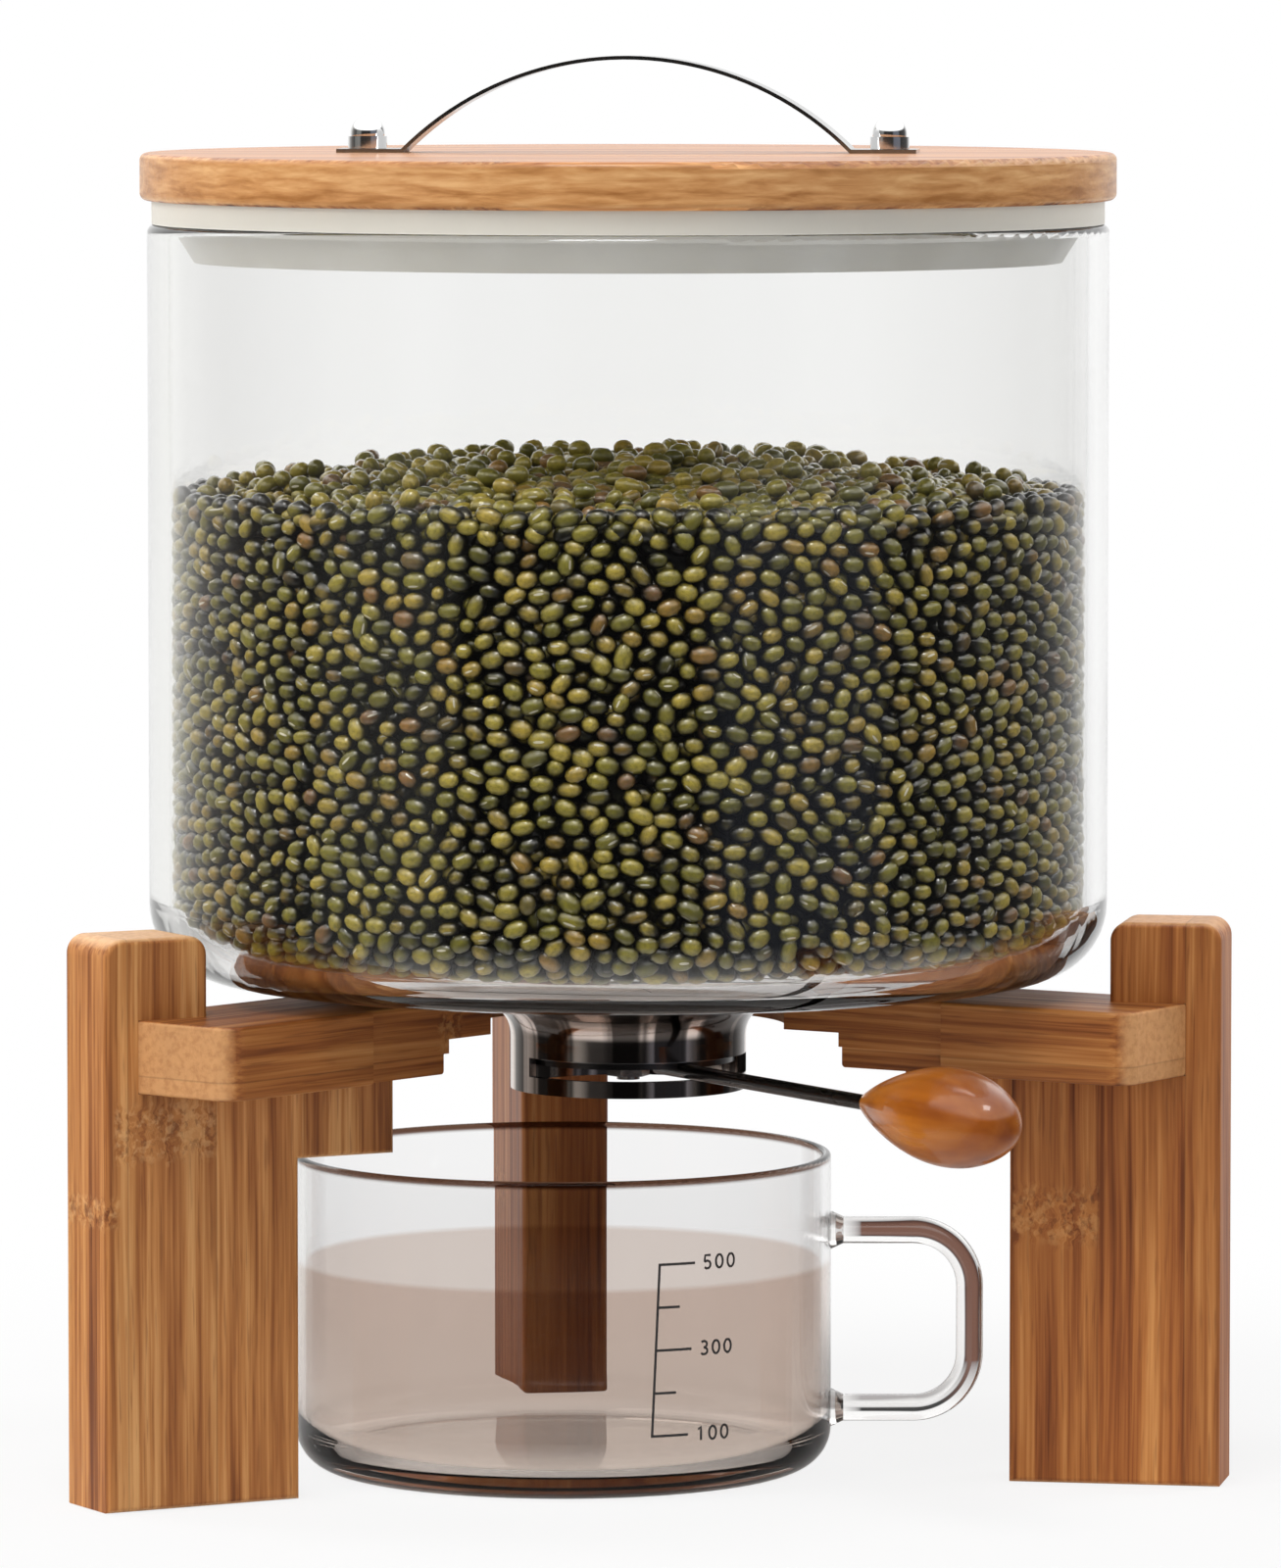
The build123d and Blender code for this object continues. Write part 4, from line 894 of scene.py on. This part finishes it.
CUP_X, CUP_Y, CUP_RADIUS = -13.8, 2.2, 57.5
INK_LIFT, INK_THICK = 0.03, 0.04
INK_STEP = 0.8
LINE_WIDTH, FIGURE_LINE = 0.55, 0.52
SCALE_TOP_U, SCALE_FOOT_U = 21.0, 19.3
SCALE_TOP_Z, SCALE_FOOT_Z = 50.2, 14.0
LONG_TICK, SHORT_TICK, TICK_START = 8.2, 5.0, 0.25
FIGURE_START, FIGURE_DROP, FIGURE_STEP = 10.2, 1.5, 3.0
FIGURE_WIDE, FIGURE_HIGH = 2.1, 1.9
SCALE_FIGURES = ("500", "300", "100")
INK_TONES = [(0.3, linear(20, 18, 18)), (0.75, linear(52, 48, 48))]


def cup_point(u, z, lift):
    """A point on the cup's outside: u millimetres round to the right of the photograph's front."""
    a = u / CUP_RADIUS
    r = CUP_RADIUS + lift
    turned = photo_place(math.sin(a) * r, -math.cos(a) * r, 0)
    return ((CUP_X + turned.x) * MM, (CUP_Y + turned.y) * MM, z * MM)


def ink_stroke(bm, points, width):
    """A printed line through (u, z) points, as a thin closed ribbon that follows the glass."""
    fine = [points[0]]
    for a, b in zip(points, points[1:]):
        pieces = max(1, int(math.dist(a, b) / INK_STEP))
        fine += [(a[0] + (b[0] - a[0]) * k / pieces, a[1] + (b[1] - a[1]) * k / pieces)
                 for k in range(1, pieces + 1)]
    ink_top = INK_LIFT + INK_THICK
    rings = []
    for i, (u, z) in enumerate(fine):
        before, after = fine[max(i - 1, 0)], fine[min(i + 1, len(fine) - 1)]
        du, dz = after[0] - before[0], after[1] - before[1]
        size = math.hypot(du, dz) or 1.0
        nu, nz = -dz / size * width / 2, du / size * width / 2
        rings.append([bm.verts.new(cup_point(u + nu * s, z + nz * s, lift))
                      for s, lift in ((1, INK_LIFT), (-1, INK_LIFT), (-1, ink_top), (1, ink_top))])
    for a, b in zip(rings, rings[1:]):
        for k in range(4):
            bm.faces.new((a[k], a[(k + 1) % 4], b[(k + 1) % 4], b[k]))
    bm.faces.new(rings[0][::-1])
    bm.faces.new(rings[-1])


def arc(cx, cy, rx, ry, start, end, count=8):
    """Points on an oval from a start to an end angle."""
    return [(cx + rx * math.cos(math.radians(a)), cy + ry * math.sin(math.radians(a)))
            for a in np.linspace(start, end, count)]


# Strokes of each figure in a box 1 wide and 1.6 high
FIGURES = {
    "0": [arc(0.5, 0.8, 0.42, 0.74, 90, 450, 14)],
    "1": [[(0.22, 1.25), (0.55, 1.54), (0.55, 0.06)]],
    "3": [arc(0.48, 1.18, 0.36, 0.36, 140, -90) + arc(0.48, 0.44, 0.42, 0.38, 90, -140)],
    "5": [[(0.86, 1.54), (0.22, 1.54), (0.16, 0.86)] + arc(0.46, 0.50, 0.40, 0.44, 130, -140)],
}
bm = bmesh.new()
ink_stroke(bm, [(SCALE_TOP_U, SCALE_TOP_Z), (SCALE_FOOT_U, SCALE_FOOT_Z)], LINE_WIDTH)
tick_count = 2 * len(SCALE_FIGURES) - 1
for step in range(tick_count):
    share = step / (tick_count - 1)
    u = SCALE_TOP_U + (SCALE_FOOT_U - SCALE_TOP_U) * share
    z = SCALE_TOP_Z + (SCALE_FOOT_Z - SCALE_TOP_Z) * share
    numbered = step % 2 == 0
    ink_stroke(bm, [(u - TICK_START, z), (u + (LONG_TICK if numbered else SHORT_TICK), z)], LINE_WIDTH)
    for place, figure in enumerate(SCALE_FIGURES[step // 2] if numbered else ""):
        left = u + FIGURE_START + place * FIGURE_STEP
        for stroke in FIGURES[figure]:
            ink_stroke(bm, [(left + x * FIGURE_WIDE, z - FIGURE_DROP + y * FIGURE_HIGH) for x, y in stroke],
                       FIGURE_LINE)
bmesh.ops.recalc_face_normals(bm, faces=bm.faces)
mesh = bpy.data.meshes.new("cup_scale")
bm.to_mesh(mesh)
bm.free()
ink, tree, shader = material("scale_ink")
patchy = noise(tree, place_of(tree), 2500.0, 2.0)
put(shader.inputs["Base Color"], ramp(tree, patchy, INK_TONES))
put(shader.inputs["Roughness"], spread(tree, patchy, 0.3, 0.7, 0.45, 0.6))
mesh.materials.append(ink)
cup_scale = bpy.data.objects.new("cup_scale", mesh)
bpy.context.scene.collection.objects.link(cup_scale)
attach(cup_scale, "cup")


# Floor, light and camera

# What polished things see round the studio: (degrees to the right of the photograph's front, colour)
STUDIO = [(-180, (1.0, 1.0, 1.0)), (-142, (0.90, 0.90, 0.88)), (-124, (0.42, 0.41, 0.40)),
          (-104, (0.16, 0.15, 0.14)), (-82, (0.07, 0.07, 0.07)), (-76, (0.20, 0.20, 0.19)),
          (-48, (0.24, 0.24, 0.23)), (-38, (0.03, 0.03, 0.03)), (16, (0.03, 0.03, 0.03)),
          (24, (0.15, 0.16, 0.19)), (58, (0.17, 0.18, 0.21)), (66, (0.04, 0.04, 0.04)),
          (110, (0.08, 0.08, 0.08)), (128, (0.30, 0.30, 0.30)), (150, (1.0, 1.0, 1.0)),
          (180, (1.0, 1.0, 1.0))]
CEILING = (2.2, 2.2, 2.2, 1.0)
CEILING_FROM, CEILING_TO = 0.26, 0.50
AMBIENT = (0.38, 0.38, 0.38, 1.0)
LAMP_AIM_Z = 0.15
FLOOR_RADIUS, FLOOR_DROP = 6.0, 0.0002
FLOOR_COLOUR = (0.80, 0.80, 0.80, 1.0)
# The floor shows the object's shadow near it and turns plain further out; near it is this plain already
SHADOW_NEAR, MIRROR_FAR, SHADOW_FAR = 0.14, 0.34, 0.42
NEAR_PLAIN = 0.82


def studio_glow(tree, direction):
    """The colour that polished things see in a direction."""
    ahead = dot(tree, direction, photo_place(0, -1, 0))
    right = dot(tree, direction, photo_place(1, 0, 0))
    turn = calc(tree, "MULTIPLY_ADD", calc(tree, "ARCTAN2", right, ahead), 0.5 / math.pi, 0.5)
    return ramp(tree, turn, [((angle + 180) / 360, (*colour, 1.0)) for angle, colour in STUDIO])


def glow_shader(tree, colour):
    """A shader that shines in a colour."""
    node = tree.nodes.new("ShaderNodeEmission")
    put(node.inputs["Color"], colour)
    return node.outputs[0]


def path_parts(tree):
    """How far a ray sees the plain background (straight or through glass), and the studio (mirrored)."""
    path = tree.nodes.new("ShaderNodeLightPath")
    matt = calc(tree, "MINIMUM", path.outputs["Diffuse Depth"], 1.0)
    reflected = calc(tree, "MINIMUM", path.outputs["Glossy Depth"], 1.0)
    clean = calc(tree, "SUBTRACT", 1.0, matt)
    through = path.outputs["Is Transmission Ray"]
    plain = calc(tree, "MULTIPLY", calc(tree, "MAXIMUM", path.outputs["Is Camera Ray"], through), clean)
    plain = calc(tree, "MULTIPLY", plain, calc(tree, "SUBTRACT", 1.0, reflected))
    studio = calc(tree, "MULTIPLY", calc(tree, "MAXIMUM", path.outputs["Is Glossy Ray"], through), clean)
    return plain, calc(tree, "MULTIPLY", studio, reflected)


bpy.ops.mesh.primitive_circle_add(vertices=96, radius=FLOOR_RADIUS, fill_type="NGON",
                                  location=(0, 0, -FLOOR_DROP))
floor = bpy.context.object
floor.name = "studio_floor"
floor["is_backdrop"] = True
mat, tree, shader = material("floor_white")
shader.inputs["Base Color"].default_value = FLOOR_COLOUR
shader.inputs["Roughness"].default_value = 0.9
shader.inputs["Specular IOR Level"].default_value = 0.0
distance = tree.nodes.new("ShaderNodeVectorMath")
distance.operation = "LENGTH"
put(distance.inputs[0], place_of(tree))
plain, studio = path_parts(tree)
far_away = spread(tree, distance.outputs["Value"], SHADOW_NEAR, SHADOW_FAR, NEAR_PLAIN, 1.0, smooth=True)
surface = mixed(tree, calc(tree, "MULTIPLY", far_away, plain), shader.outputs[0], glow_shader(tree, WHITE))
well_away = spread(tree, distance.outputs["Value"], SHADOW_NEAR, MIRROR_FAR, smooth=True)
surface = mixed(tree, calc(tree, "MULTIPLY", well_away, studio), surface,
                glow_shader(tree, studio_glow(tree, place_of(tree))))
put(tree.nodes["Material Output"].inputs["Surface"], surface)
floor.data.materials.append(mat)

world = bpy.data.worlds.new("studio")
bpy.context.scene.world = world
world.use_nodes = True
tree = world.node_tree
sky = tree.nodes["Background"]
heading = tree.nodes.new("ShaderNodeTexCoord").outputs["Generated"]
plain, studio = path_parts(tree)
ceiling = spread(tree, dot(tree, heading, UP), CEILING_FROM, CEILING_TO, smooth=True)
mirrored = blend_colours(tree, ceiling, studio_glow(tree, heading), CEILING)
colour = blend_colours(tree, studio, AMBIENT, mirrored)
put(sky.inputs["Color"], blend_colours(tree, plain, colour, WHITE))
sky.inputs["Strength"].default_value = 1.0


def softbox(name, place, size, power, colour=(1, 1, 1), mirrored=False):
    """A soft lamp that faces the object's middle; polished things see it only if it is mirrored."""
    lamp = bpy.data.lights.new(name, "AREA")
    lamp.shape = "RECTANGLE"
    lamp.size, lamp.size_y = size
    lamp.energy = power
    lamp.color = colour
    obj = bpy.data.objects.new(name, lamp)
    bpy.context.scene.collection.objects.link(obj)
    obj.location = place
    obj.rotation_mode = "QUATERNION"
    obj.rotation_quaternion = (Vector((0, 0, LAMP_AIM_Z)) - place).to_track_quat("-Z", "Y")
    obj.visible_glossy = mirrored
    obj.visible_transmission = mirrored


softbox("key_left", around(-58, 1.6, 0.80), (0.9, 1.3), 15.0, colour=(1.0, 0.98, 0.95))
softbox("fill_right", around(45, 1.7, 0.55), (0.9, 1.4), 3.5, colour=(0.96, 0.98, 1.0))
softbox("top", around(-10, 0.8, 1.6), (0.5, 0.5), 10.0, mirrored=True)
softbox("rim_right", around(118, 1.6, 0.75), (0.7, 1.3), 13.0)
softbox("rim_left", around(-118, 1.6, 0.75), (0.7, 1.3), 12.0)

# The camera stands in the photograph's place: its focal length in the photograph's pixels, and how many
# pixels the level point straight ahead lies left of and above the photograph's middle
EYE_DISTANCE, EYE_HEIGHT = 2.2, 0.3227
FOCAL_PIXELS, FRAME_HEIGHT = 10520.0, 1600.0
AHEAD_LEFT, AHEAD_ABOVE = 12.5, 840.0
SENSOR, CLIP_END = 36.0, 60.0
yaw = math.atan(AHEAD_LEFT / FOCAL_PIXELS)
pitch = math.atan(AHEAD_ABOVE / FOCAL_PIXELS)
camera = bpy.data.cameras.new("camera")
camera.sensor_width = SENSOR
camera.lens = FOCAL_PIXELS * SENSOR / FRAME_HEIGHT
camera.clip_end = CLIP_END
eye = bpy.data.objects.new("camera", camera)
bpy.context.scene.collection.objects.link(eye)
eye.location = photo_place(0, -EYE_DISTANCE, EYE_HEIGHT)
aim = photo_place(math.sin(yaw) * math.cos(pitch), math.cos(yaw) * math.cos(pitch), -math.sin(pitch))
eye.rotation_mode = "QUATERNION"
eye.rotation_quaternion = aim.to_track_quat("-Z", "Y")
bpy.context.scene.camera = eye

bpy.context.scene.view_settings.view_transform = "Standard"

low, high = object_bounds()
